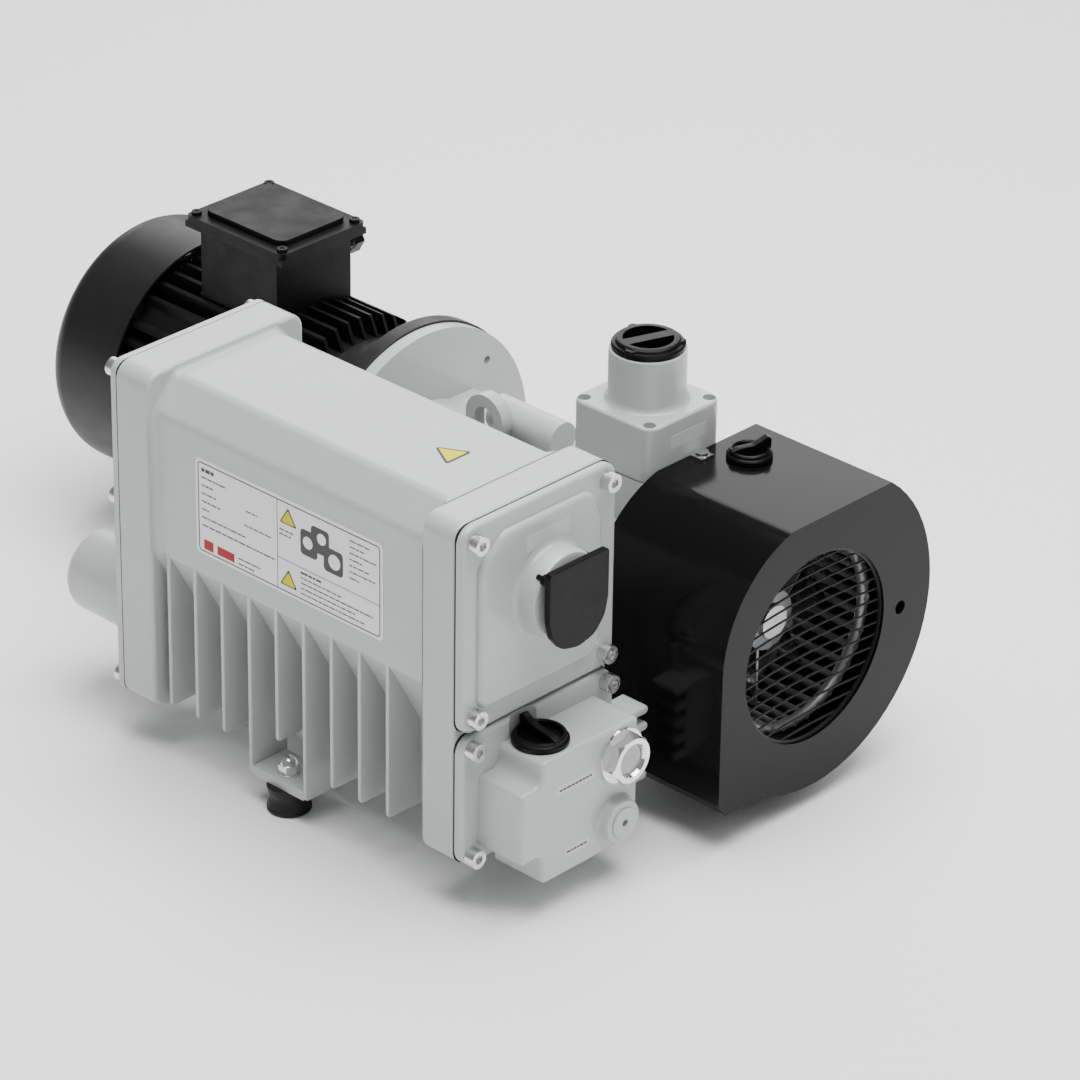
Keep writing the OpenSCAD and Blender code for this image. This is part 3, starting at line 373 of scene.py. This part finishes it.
def grown(outline, d):
    """The outline moved outwards by d; a negative d moves it inwards."""
    n = len(outline)
    area = sum(outline[i - 1].x * outline[i].y - outline[i].x * outline[i - 1].y for i in range(n))
    side = 1 if area > 0 else -1
    out = []
    for i in range(n):
        e0 = (outline[i] - outline[i - 1]).normalized()
        e1 = (outline[(i + 1) % n] - outline[i]).normalized()
        mitre = Vector((e0.y, -e0.x)) * side + Vector((e1.y, -e1.x)) * side
        mitre = mitre / max(mitre.length_squared / 2, 0.5)
        out.append(outline[i] + mitre * d)
    return out


# ---------------------------------------------------------------- temporary solids
def on_axis(axis, t, a, b):
    """The point at t along an axis and at (a, b) on the other two."""
    return point(*{"x": (t, a, b), "y": (a, t, b), "z": (a, b, t)}[axis])


def skin(bm, loops):
    """Adds the faces between neighbouring loops of vertices."""
    n = len(loops[0])
    for low, high in zip(loops, loops[1:]):
        for k in range(n):
            bm.faces.new((low[k], low[(k + 1) % n], high[(k + 1) % n], high[k]))


def solid_of(bm):
    """The temporary solid that a closed bmesh describes."""
    bmesh.ops.recalc_face_normals(bm, faces=bm.faces)
    mesh = bpy.data.meshes.new("solid")
    bm.to_mesh(mesh)
    bm.free()
    return placed_object("temp", mesh)


def through(rings):
    """A solid through rings of points, closed by a flat face at each end."""
    bm = bmesh.new()
    loops = [[bm.verts.new(p) for p in points] for points in rings]
    bm.faces.new(loops[0])
    bm.faces.new(loops[-1])
    skin(bm, loops)
    return solid_of(bm)


def loft(sections, axis):
    """A solid through outlines of equal length, given as (place along the axis, outline)."""
    return through([[on_axis(axis, t, *q) for q in outline] for t, outline in sections])


def prism(outline, lo, hi, axis, rim_lo=0.0, rim_hi=0.0, steps=4):
    """An outline stretched from lo to hi, with rounded rims."""
    def rim(end, radius, inward):
        if not radius:
            return [(end, outline)]
        return [(end + inward * radius * run, grown(outline, -radius * fall))
                for run, fall in quarter(steps)]

    return loft(rim(lo, rim_lo, 1) + rim(hi, rim_hi, -1)[::-1], axis)


def rod(r, lo, hi, centre, axis, rim_lo=0.0, rim_hi=0.0, n=64):
    return prism(ring(r, centre, n), lo, hi, axis, rim_lo, rim_hi, 3)


def box_solid(a, b, r=0.0, axis="z", rim=0.0):
    """A box between two corners, rounded by r round the axis and by rim at its two ends."""
    i, j = {"x": (1, 2), "y": (0, 2), "z": (0, 1)}[axis]
    k = 3 - i - j
    return prism(rect(a[i], a[j], b[i], b[j], r, 4), a[k], b[k], axis, rim, rim, 3)


def turned(profile, centre, axis, n=64):
    """A solid of revolution; the profile is (radius, place), and both its ends lie on the axis."""
    bm = bmesh.new()
    first = bm.verts.new(on_axis(axis, profile[0][1], *centre))
    last = bm.verts.new(on_axis(axis, profile[-1][1], *centre))
    loops = [[bm.verts.new(on_axis(axis, t, *q)) for q in ring(r, centre, n)] for r, t in profile[1:-1]]
    for k in range(n):
        bm.faces.new((first, loops[0][k], loops[0][(k + 1) % n]))
        bm.faces.new((last, loops[-1][k], loops[-1][(k + 1) % n]))
    skin(bm, loops)
    return solid_of(bm)


def tube(points, r, sides=10):
    """A round wire along points in pump millimetres."""
    up = Vector((0, 0, 1))
    rings = []
    for i, p in enumerate(points):
        along = (points[min(i + 1, len(points) - 1)] - points[max(i - 1, 0)]).normalized()
        out = along.cross(up).normalized()
        angles = [2 * math.pi * k / sides for k in range(sides)]
        rings.append([point(*(p + r * (math.cos(a) * out + math.sin(a) * up))) for a in angles])
    return through(rings)


def turn(obj, angle, pivot):
    """Turns a temporary solid about the upright line through a point in pump millimetres."""
    p = point(*pivot)
    turning = Matrix.Rotation(math.radians(angle), 4, "Z")
    obj.data.transform(Matrix.Translation(p) @ turning @ Matrix.Translation(-p))
    return obj


def combined(base, add=(), cut=(), keep=()):
    """The mesh of a temporary solid joined with some, cut by others and trimmed to the rest."""
    for operation, others in (("UNION", add), ("DIFFERENCE", cut), ("INTERSECT", keep)):
        for other in others:
            join = base.modifiers.new("join", "BOOLEAN")
            join.operation = operation
            join.solver = "MANIFOLD"
            join.object = other
    mesh = evaluated(base)
    for obj in (base, *add, *cut, *keep):
        bpy.data.objects.remove(obj)
    return mesh


def solid(base, add=(), cut=(), keep=()):
    """One temporary solid made of several."""
    return placed_object("temp", combined(base, add, cut, keep))


def made(name, base, add=(), cut=(), keep=(), body="pump", slot="casting_paint", nodes=(), crease=CREASE):
    """One visible piece made of temporary solids, which may stand for CAD nodes."""
    piece(name, even_normals(combined(base, add, cut, keep), crease), body, slot, nodes)


# ---------------------------------------------------------------- separator box
WIDTH, BOTTOM = 145, -252
REAR, FRONT = -319, 0
REAR_RIM_END, FRONT_RIM_END = -288, -29.5
RIM_CORNER = 12
WALL_LAP = 0.5
FLARE = 5.6
RIB_HALF, RIB_EDGE, RIB_ROOT, RIB_TOP, RIB_END = 1.7, 6.05, 40, -120, -246
LONGER_RIB_ENDS = {3: FOOT_Z, 4: -231, 5: FOOT_Z}
FOOT_THICK = 7
SHELF_LOW, SHELF_TOP = -157, -150
FLOAT_PIN, FLOAT_EARS, EAR_THICK = (-110, -166), (60, 96), 4
SCREW_HOLE, COVER_HOLE = 4.05, 4.3
COVER_EDGE = 0.5


def box_wall():
    """The long wall of the box, which flares out to the rims at both ends."""
    outline = rounded([(26, 0), (119, 0), (139, -23), (139, -246), (36, -246), (36, -182), (6, -128.5),
                       (6, -23)], [9, 9, 12, 6, 4, 10, 10, 12], 6)

    def held(points, top):
        """Keeps the flare a little inside the rim."""
        return [Vector((min(max(q.x, 0.3), WIDTH - 0.3), min(q.y, top))) for q in points]

    rear, front = [], []
    for run, fall in quarter(6):
        flared = grown(outline, FLARE * fall)
        rear.append((REAR_RIM_END - WALL_LAP + FLARE * run, held(flared, BOX_RIM - 0.4)))
        front.append((FRONT_RIM_END + WALL_LAP - FLARE * run, held(flared, -0.1)))
    return loft(rear + front[::-1], "x")


def box_room():
    """The hollow inside of the box, open at both ends."""
    outline = rounded([(30, -7), (115, -7), (132, -26), (132, -239), (43, -239), (43, -184), (13, -132),
                       (13, -26)], 5, 4)
    return prism(outline, REAR - 1, FRONT + 1, "x")


def box_rims():
    """The thick rims at both ends, which the covers are screwed to."""
    return [prism(rect(0, BOTTOM, WIDTH, BOX_RIM, RIM_CORNER), REAR, REAR_RIM_END, "x", 0.6, 3.0),
            prism(rect(0, BOTTOM, WIDTH, 0, RIM_CORNER), FRONT_RIM_END, FRONT, "x", 3.0, 2.2)]


def box_ribs():
    """The nine ribs, and the foot plate between the two longest of them."""
    ribs = []
    for i, x in enumerate(RIB_X):
        end = LONGER_RIB_ENDS.get(i, RIB_END)
        rib = rounded([(RIB_EDGE, RIB_TOP), (RIB_ROOT, RIB_TOP), (RIB_ROOT, end), (RIB_EDGE, end)],
                      [0, 0, 0, 3], 4)
        ribs.append(prism(rib, x - RIB_HALF, x + RIB_HALF, "x", 1.2, 1.2, 2))
    foot = box_solid((RIB_X[5] + 0.2, 6.1, FOOT_Z), (RIB_X[3] - 0.2, 38, FOOT_Z + FOOT_THICK), 2, "y")
    return [*ribs, foot]


def box_shelf():
    """The shelf between the oil room and the filter room, with the two ears that carry the float's pin."""
    x, z = FLOAT_PIN
    ears = [box_solid((x - 8, y, z - 5), (x + 8, y + EAR_THICK, SHELF_LOW + 1)) for y in FLOAT_EARS]
    return solid(box_solid((-300, 24, SHELF_LOW), (-10, 135, SHELF_TOP)), ears)


def separator():
    cut = [box_room(), rod(4.3, FOOT_Z - 1, FOOT_Z + FOOT_THICK + 1, FEET[0], "z"),
           box_solid((-146, 131, -202), (-94, 141, -162))]
    cut += [rod(SCREW_HOLE, -17, FRONT + 1, p, "x", n=24) for p in FILTER_SCREWS + SUMP_SCREWS]
    cut += [rod(SCREW_HOLE, REAR - 1, -302, p, "x", n=24) for p in REAR_SCREWS]
    shell = solid(box_wall(), box_rims() + box_ribs(), cut)
    holes = [rod(18, SHELF_LOW - 1, SHELF_TOP + 1, (-265, 72.5), "z", n=40)]
    holes += [rod(2.6, y - 1, y + EAR_THICK + 1, FLOAT_PIN, "y", n=24) for y in FLOAT_EARS]
    made("separator_casting", solid(shell, [box_shelf()], holes), nodes=["separator_housing"])


def cover_plate(low, top, face, rim):
    """A cover's flat plate, from just in front of the box to its face."""
    return prism(rect(COVER_EDGE, low, WIDTH - COVER_EDGE, top, RIM_CORNER), 1, face, "x", 0.4, rim)


def filter_cover():
    pad = rounded([(14, -137), (119, -137), (128, -127), (128, -34), (119, -12), (36, -12), (14, -32)],
                  [9, 9, 9, 14, 14, 16, 14], 6)
    boss = turned([(0, 5), (35.5, 5), (35.5, 11.2), (33.4, 11.9), (32.2, 13.2), (31.6, 15), (31, 24.5),
                   (30.1, 26.9), (27.6, 28), (0, 28)], EXHAUST, "x", 80)
    cut = [rod(20, 0, 29, EXHAUST, "x"), prism(rect(22, -130, 123, -20, 8), 0, 5, "x")]
    cut += [rod(COVER_HOLE, 0, 12, p, "x", n=24) for p in FILTER_SCREWS]
    cut += [rod(2.0, 22, 29, p, "x", n=20) for p in PEGS]
    raised = [prism(pad, 3, 11, "x", 0.0, 4.0, 6), boss]
    made("filter_cover_casting", cover_plate(-152.5, -0.5, 7, 3.2), raised, cut, nodes=["filter_cover"])


def deflector():
    """The D-shaped plate in front of the exhaust port, on three stepped pegs."""
    outline = rounded([(48, -38), (48, -73), (51, -86), (60, -97), (76, -101), (92, -97), (101, -86),
                       (104, -73), (104, -38)], [3, 30, 12, 14, 18, 14, 12, 30, 3], 5)
    peg = [(0, 22.5), (1.9, 22.5), (1.9, 28.2), (4, 28.2), (4, 34.5), (0, 34.5)]
    plate = prism(outline, 34, 39, "x", 0.7, 0.9, 3)
    made("deflector_plate", plate, [turned(peg, p, "x", 28) for p in PEGS], body=BODY["exhaust_deflector"],
         slot="black_plastic", nodes=["exhaust_deflector"])


def sump_cover():
    belly = rounded([(15.6, -186), (35.5, -186), (35.5, -169.5), (127, -169.5), (127, -262), (36, -262),
                     (36, -239.5), (15.6, -239.5)], [4, 8, 4, 4, 5, 5, 5, 4], 6)
    ledge = rounded([(118, -186), (151, -186), (151, -240.5), (134, -240.5), (127.5, -247), (127.5, -261.8),
                     (118, -261.8)], [0, 3, 3, 4, 4, 0, 0], 5)
    add = [prism(belly, 4, 47.5, "x", 0.0, 3.5, 5), prism(ledge, 4, 23.5, "x", 0.0, 2.0)]
    for i in range(5):
        z = -189.2 - 12.6 * i
        fin = rounded([(140, z + 3.2), (140, z - 3.2), (163.1, z - 3.2), (163.1, z + 3.2)],
                      [0, 0, 3.1, 3.1], 6)
        add.append(prism(fin, 1.2, 23.4, "x", 0.6, 2.0, 3))
    add.append(turned([(0, 46), (18.5, 46), (18.2, 47.6), (17.0, 48.6), (16.2, 50.5), (16, 53.6),
                       (15.1, 55.2), (13.4, 55.6), (0, 55.6)], DRAIN, "x"))
    add.append(turned([(0, 46), (21.6, 46), (21.3, 47.7), (0, 47.7)], SIGHT_GLASS, "x"))
    cut = [box_solid((0, 42, -252), (40.5, 120, -176.5)), box_solid((0, 22, -233), (40.5, 43, -192)),
           rod(12, -178, -168, FILL_PLUG, "z", n=40), rod(20.6, -169.5, -150, FILL_PLUG, "z"),
           rod(12, 39, 49, SIGHT_GLASS, "x", n=48), rod(6.6, 39, 57, DRAIN, "x", n=32)]
    for p in SUMP_SCREWS:
        cut.append(rod(COVER_HOLE, 0, 12, p, "x", n=24))
        cut.append(rod(7.6, 8.0, 50, p, "x", n=40))
    made("sump_cover_casting", cover_plate(-251.5, -154.5, 8, 3.0), add, cut, nodes=["sump_cover"])


def sight_glass():
    hexagon = prism(ring(18.4, SIGHT_GLASS, 6, math.radians(12)), 49.5, 59.4, "x")
    chamfer = turned([(0, 40), (18.5, 40), (18.5, 57.0), (15.8, 59.5), (0, 59.5)], SIGHT_GLASS, "x")
    nut = solid(hexagon, keep=[chamfer])
    add = [turned([(0, 47.6), (19.6, 47.6), (19.9, 48.2), (19.6, 49.6), (0, 49.6)], SIGHT_GLASS, "x"),
           rod(11.9, 40.6, 48, SIGHT_GLASS, "x", n=48)]
    cut = [rod(8.5, 39, 61, SIGHT_GLASS, "x", n=48), rod(11, 53.5, 61, SIGHT_GLASS, "x", n=48),
           turned([(0, 61), (13.2, 61), (11, 57.2), (0, 57.2)], SIGHT_GLASS, "x")]
    made("sight_glass_body", nut, add, cut, slot="bright_chrome", nodes=["sight_glass_fitting"], crease=25)
    window = turned([(0, 53.6), (10.4, 53.6), (10.9, 54.0), (10.9, 55.8), (10.2, 56.4), (0, 56.6)],
                    SIGHT_GLASS, "x")
    made("sight_glass_window", window, slot="lens_glass", nodes=["sight_glass_lens"])


def drain():
    plug = turned([(0, 41.5), (6.4, 41.5), (6.4, 55.6), (10.4, 55.6), (10.9, 56.0), (10.7, 56.9),
                   (9.9, 57.2), (0, 57.2)], DRAIN, "x", 48)
    key_hole = prism(ring(3.0, DRAIN, 6), 51.5, 58, "x")
    made("drain_screw", plug, cut=[key_hole], nodes=["drain_plug"])


# ---------------------------------------------------------------- print
PRINT_LO, PRINT_HI = PLATE_Y - 0.62, PLATE_Y - 0.45
PRINT_PROUD = 0.08
SMALL = 0.9


def print_bar(a, b):
    """One thin printed bar on the nameplate, from (x, z) corner a to corner b."""
    return box_solid((a[0], PRINT_LO, a[1]), (b[0], PRINT_HI, b[1]), 0, "y")


def print_lines():
    """The nameplate's lines of print, as (x of the start, x of the end, z of the top, height)."""
    def column(x, top, pitch, high, lengths):
        return [(x, x + length, top - pitch * k, high) for k, length in enumerate(lengths)]

    title = column(-242, -47.5, 0, 2.6, [12])
    data = column(-242, -54, 6, 1.0, [24, 11, 14, 18, 7, 42, 70])
    values = [(-199, -188, -64, SMALL), (-201, -175, -75, SMALL)]
    maker = [(-207, -186, -102.5, SMALL), (-207, -190, -106.5, SMALL)]
    names = column(-101, -48.5, 4.6, SMALL, [20, 14, 25, 12, 18, 24, 9])
    heading = column(-147, -89.8, 0, 1.5, [20])
    advice = column(-147, -94.0, 3.9, SMALL, [38, 68, 52, 60])
    by_sign = [(-167, -152, -64.5, SMALL), (-167, -156, -68, SMALL)]
    return title + data + values + maker + names + heading + advice + by_sign


def print_words():
    """Lines of print as short bars of uneven length."""
    lengths = random.Random(3)
    bars = []
    for start, end, top, high in print_lines():
        x = start
        while x < end - 1:
            length = lengths.uniform(2.0, 6.5)
            bars.append(print_bar((x, top - high), (min(x + length, end), top)))
            x += length + 0.8
    return bars


def triangle(points, inset):
    """A triangle with its sides moved inwards and its corners rounded."""
    return rounded([tuple(q) for q in grown([Vector(q) for q in points], -inset)], 0.8, 3)


def nameplate():
    plate = prism(rect(-248, -113, -70, -41, 4), PLATE_Y - 0.5, PLATE_Y, "y", 0.15, 0.0, 2)
    made("nameplate_sheet", plate, slot="plate_foil", nodes=["nameplate"])
    border = solid(prism(rect(-245.6, -110.7, -72.4, -43.3, 3), PRINT_LO, PRINT_HI, "y"),
                   cut=[prism(rect(-244.8, -109.9, -73.2, -44.1, 2.2), PRINT_LO - 1, PRINT_HI + 1, "y")])
    ink = [print_bar((-169.3, -110.4), (-168.8, -43.6)), print_bar((-169.2, -87.0), (-72.7, -86.6))]
    ink += print_words()
    # A small plain drawing of a machine, as dark blocks with pale discs
    for x0, z0, x1, z1 in ((-147, -76, -131, -57), (-137, -70, -120, -51), (-125, -80, -107, -62)):
        ink.append(box_solid((x0, PRINT_LO, z0), (x1, PRINT_HI, z1), 3, "y"))
    made("nameplate_print", border, ink, slot="plate_ink")
    discs = [rod(r, PRINT_LO - PRINT_PROUD, PRINT_HI, c, "y", n=32)
             for c, r in (((-140, -66), 4.5), ((-127, -58.5), 4.2), ((-115, -71), 5.5))]
    made("nameplate_discs", discs[0], discs[1:], slot="plate_foil")
    red = [print_bar((-240.5, -108.3), (-231.5, -101)), print_bar((-227.5, -108), (-211, -101.6))]
    made("nameplate_red", red[0], red[1:], slot="plate_red")
    for name, inset, proud, slot in (("edges", 0.0, 0.0, "plate_ink"),
                                     ("signs", 1.0, PRINT_PROUD, "sticker_yellow")):
        signs = [prism(triangle([(-166.8, z), (-150.4, z), (-158.6, z + 12.8)], inset),
                       PRINT_LO - proud, PRINT_HI, "y") for z in (-59.8, -106)]
        made("nameplate_" + name, signs[0], signs[1:], slot=slot)


def sticker():
    """The blank yellow triangle on top of the box."""
    corners = [(-66.1, 83.7), (-66.0, 59.5), (-88.4, 71.7)]
    made("sticker_edge", prism(rounded(corners, 1.5, 3), -0.02, 0.14, "z"), slot="plate_ink")
    made("sticker_field", prism(triangle(corners, 1.6), 0.0, 0.26, "z"), slot="sticker_yellow")


def labels():
    """Blank pale labels on the two castings, and two printed strips on the oil sump."""
    def label(outline, lo, hi):
        return prism(outline, lo, hi, "x", 0.0, 0.1, 2)

    made("label_filter", label(rect(55, -35, 95, -23, 1.5), 10.9, 11.15), slot="label_pale")
    made("label_inlet", label(rect(256, -54.5, 292, -44.5, 1.5), -47.1, -46.85), slot="label_pale")
    strips = [label(rect(48.5, -199, 84.5, -192.3, 1.2), 47.4, 47.62),
              label(rect(56.5, -248.6, 80.5, -242.6, 1.2), 47.4, 47.62)]
    made("strip_labels", strips[0], strips[1:], slot="label_pale")
    widths = random.Random(11)
    bars = []
    for start, end, z in ((51, 82, -195.8), (59, 78, -245.8)):
        y = start
        while y < end - 2:
            width = widths.uniform(1.6, 4.0)
            bars.append(box_solid((47.5, y, z - 0.7), (47.72, min(y + width, end), z + 0.7), 0, "x"))
            y += width + 0.7
    made("strip_print", bars[0], bars[1:], slot="plate_ink")


# ---------------------------------------------------------------- plugs, inlet, guard, feet
def wing_plug(name, node, centre, z, r, angle, stem_r, stem_z):
    """A moulded cap of radius r on z, with a sunk top and a grip bar that is tall at one end."""
    x, y = centre
    cap = turned([(0, z), (r - 0.6, z), (r, z + 0.6), (r, z + 3.2), (r - 0.9, z + 4.4), (r - 1.6, z + 4.7),
                  (r - 1.8, z + 6.2), (r - 2.6, z + 7.0), (r - 3.8, z + 7.0), (r - 4.6, z + 6.2),
                  (r - 5.0, z + 3.0), (0, z + 2.6)], centre, "z")
    high = z + 14.8
    tall, short = x - r, x + r
    grip = rounded([(tall + 1.2, z + 1), (short - 1.2, z + 1), (short - 1.4, z + 7.6),
                    (short - 7, z + 9.4), (x - 2, z + 9.8), (tall + 7.5, high - 2.0), (tall + 3.5, high),
                    (tall + 0.4, high - 2.5)], [0, 0, 1.5, 3, 4, 3, 1.2, 1.2], 4)
    bar = turn(prism(grip, y - 2.8, y + 2.8, "y", 1.1, 1.1, 3), angle, (x, y, z))
    stem = rod(stem_r, stem_z, z + 1, centre, "z", 0.6, 0.0, 40)
    trim = rod(r + 0.05, z - 40, z + 40, centre, "z")
    made(name, solid(cap, [bar, stem]), keep=[trim], body=BODY[node], slot="black_plastic", nodes=[node])


def inlet_block():
    """The square inlet block with its round neck."""
    x, y = INLET
    block = box_solid((x - 37, y - 37, -75), (x + 37, y + 37, -33), 10, "z", 2.2)
    fillet = [(27 + 5 * fall, -33.2 + 5 * run) for run, fall in quarter(6)]
    neck = turned([(0, -36), (32, -36), *fillet, (27, 4.4), (26.6, 5.2), (25.8, 5.5), (0, 5.5)],
                  INLET, "z", 96)
    bores = ((21, -7.5, 7), (20, -25, 0), (18, -52, -20), (25, -76, -51))
    cut = [rod(r, lo, hi, INLET, "z", n=72) for r, lo, hi in bores]
    for p in grid((x - 30, x + 30), (y - 30, y + 30)):
        cut += [rod(4.5, -45, -32, p, "z", n=32), rod(2.7, -76, -44, p, "z", n=24)]
    made("inlet_casting", block, [neck], cut, nodes=["inlet_flange"])


def inlet_cap():
    """The black plug that closes the neck: three ears on its rim, and two half-moon wells beside its bar."""
    x, y = INLET
    cap = turned([(0, 5.5), (24.8, 5.5), (25.5, 6.2), (25.5, 8.6), (24.6, 9.8), (23.0, 10.2), (22.4, 11.4),
                  (21.6, 12.2), (20.4, 12.5), (0, 12.5)], INLET, "z", 80)
    skirt = turned([(0, -7.5), (20.4, -7.5), (20.9, -7.0), (20.9, 6), (0, 6)], INLET, "z", 64)
    ear = rounded([(x + 20.6, y - 6.5), (x + 25.8, y - 1.8), (x + 25.8, y + 1.8), (x + 20.6, y + 6.5),
                   (x + 16, y + 7), (x + 16, y - 7)], [1, 1, 1, 1, 0, 0], 3)
    ears = [turn(prism(ear, 6.0, 11.6, "z", 0.8, 1.4, 3), angle, (x, y, 0)) for angle in (40, 160, 280)]
    wells = []
    for side in (1, -1):
        angles = [math.radians(a) for a in range(-76, 77, 8)]
        arc = [(x + 17.6 * math.cos(a) * side, y + 17.6 * math.sin(a) * side) for a in angles]
        wells.append(turn(prism(rounded(arc, 0), 4.2, 13, "z"), -20, (x, y, 0)))
    made("inlet_cap", cap, [skirt, *ears], wells, body=BODY["inlet_plug"], slot="black_plastic",
         nodes=["inlet_plug"])


def guard():
    """Wires dished inwards across the cowl's air opening, welded to a flat ring."""
    r, pitch, wire_r, dish = 75.5, 9, 0.8, 6.0
    hole = rod(r - 7, 71, 76, FAN_SHAFT, "x", n=96)
    hoop = solid(rod(r, 72.5, 74.5, FAN_SHAFT, "x", 0.4, 0.4, 96), cut=[hole])
    y, z = FAN_SHAFT
    wires = []
    for i in range(-7, 8):
        half = math.sqrt(r * r - (pitch * i) ** 2) - 2
        deep = dish * (half / r) ** 2
        wires.append(tube([Vector((73.4 - deep * (1 - (k / 8) ** 2), y + half * k / 8, z + pitch * i))
                           for k in range(-8, 9)], wire_r))
    made("guard_wires", hoop, wires, body=BODY["cowl_guard"], slot="black_paint", nodes=["cowl_guard"],
         crease=40)


def feet():
    """The three rubber bobbins, waisted in steps, each with a stud on top and a hole below."""
    low, top = FOOT_Z - 20, FOOT_Z
    profile = [(0, low), (14.6, low), (15.5, low + 0.9), (15.5, low + 2.4), (14.9, low + 3.2),
               (14.9, low + 4.6), (13.6, low + 7.5), (13.2, low + 10), (13.6, low + 12.5),
               (14.9, low + 15.4), (14.9, low + 16.8), (15.5, low + 17.6), (15.5, top - 0.6), (15.0, top),
               (3.95, top), (3.95, top + 13.6), (3.5, top + 14), (0, top + 14)]
    bobbins = [turned(profile, c, "z", 56) for c in FEET]
    holes = [rod(3.4, low - 1, low + 9, c, "z", n=32) for c in FEET]
    made("rubber_bobbins", bobbins[0], bobbins[1:], holes, slot="foot_rubber", nodes=["rubber_feet"])


def valve_spring():
    """The check valve's coil, copied from its CAD node into a mesh of its own."""
    node = "check_valve_spring"
    coil = piece("valve_spring_coil", frame["nodes"][node].data.copy(), BODY[node], SLOT[node], [node])
    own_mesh(coil)


# ---------------------------------------------------------------- build
# CAD nodes whose look isn't that of their slot in the record
LOOK = {"oil_cooler": "cooler_steel"}
# CAD nodes that keep their shape and get rounded edges, with the width of the rounding in millimetres
SOFT = {
    "rear_cover": 2.0, "cover_screws": 0.5, "coupling_housing": 2.5, "cooling_fan": 0.8,
    "motor_side_plate": 1.0, "fan_side_plate": 1.0, "pump_cylinder": 1.5, "oil_filter": 1.0,
    "foot_nuts": 0.4, "fan_cowl": 0.8, "terminal_box": 1.2, "terminal_lid": 1.2,
    "terminal_lid_screws": 0.3, "cowl_screws": 0.4, "motor_housing": 0.5, "motor_flange": 1.0,
    "motor_fan_cover": 0.5, "cable_gland": 0.5, "gas_ballast_valve": 0.6, "flange_bolts": 0.5,
    "inlet_screws": 0.3,
}

set_camera()
make_paints()
make_metals()
make_plastics()
make_prints()
for node, obj in frame["nodes"].items():
    obj.data.materials.clear()
    obj.data.materials.append(MATERIALS[LOOK.get(node, SLOT[node])])
    smooth(obj.data)
set_floor(MATERIALS["floor_pale"])
set_world()
set_lights()

separator()
filter_cover()
deflector()
sump_cover()
wing_plug("oil_plug_cap", "oil_fill_plug", FILL_PLUG, z=-169.5, r=19.5, angle=-6, stem_r=11.8, stem_z=-181.5)
wing_plug("ballast_cap", "gas_ballast_knob", BALLAST_KNOB, z=-65, r=16, angle=-113, stem_r=5.95, stem_z=-86)
sight_glass()
drain()
nameplate()
sticker()
inlet_block()
inlet_cap()
guard()
valve_spring()
labels()
feet()
for node, width in SOFT.items():
    soften(node, width)
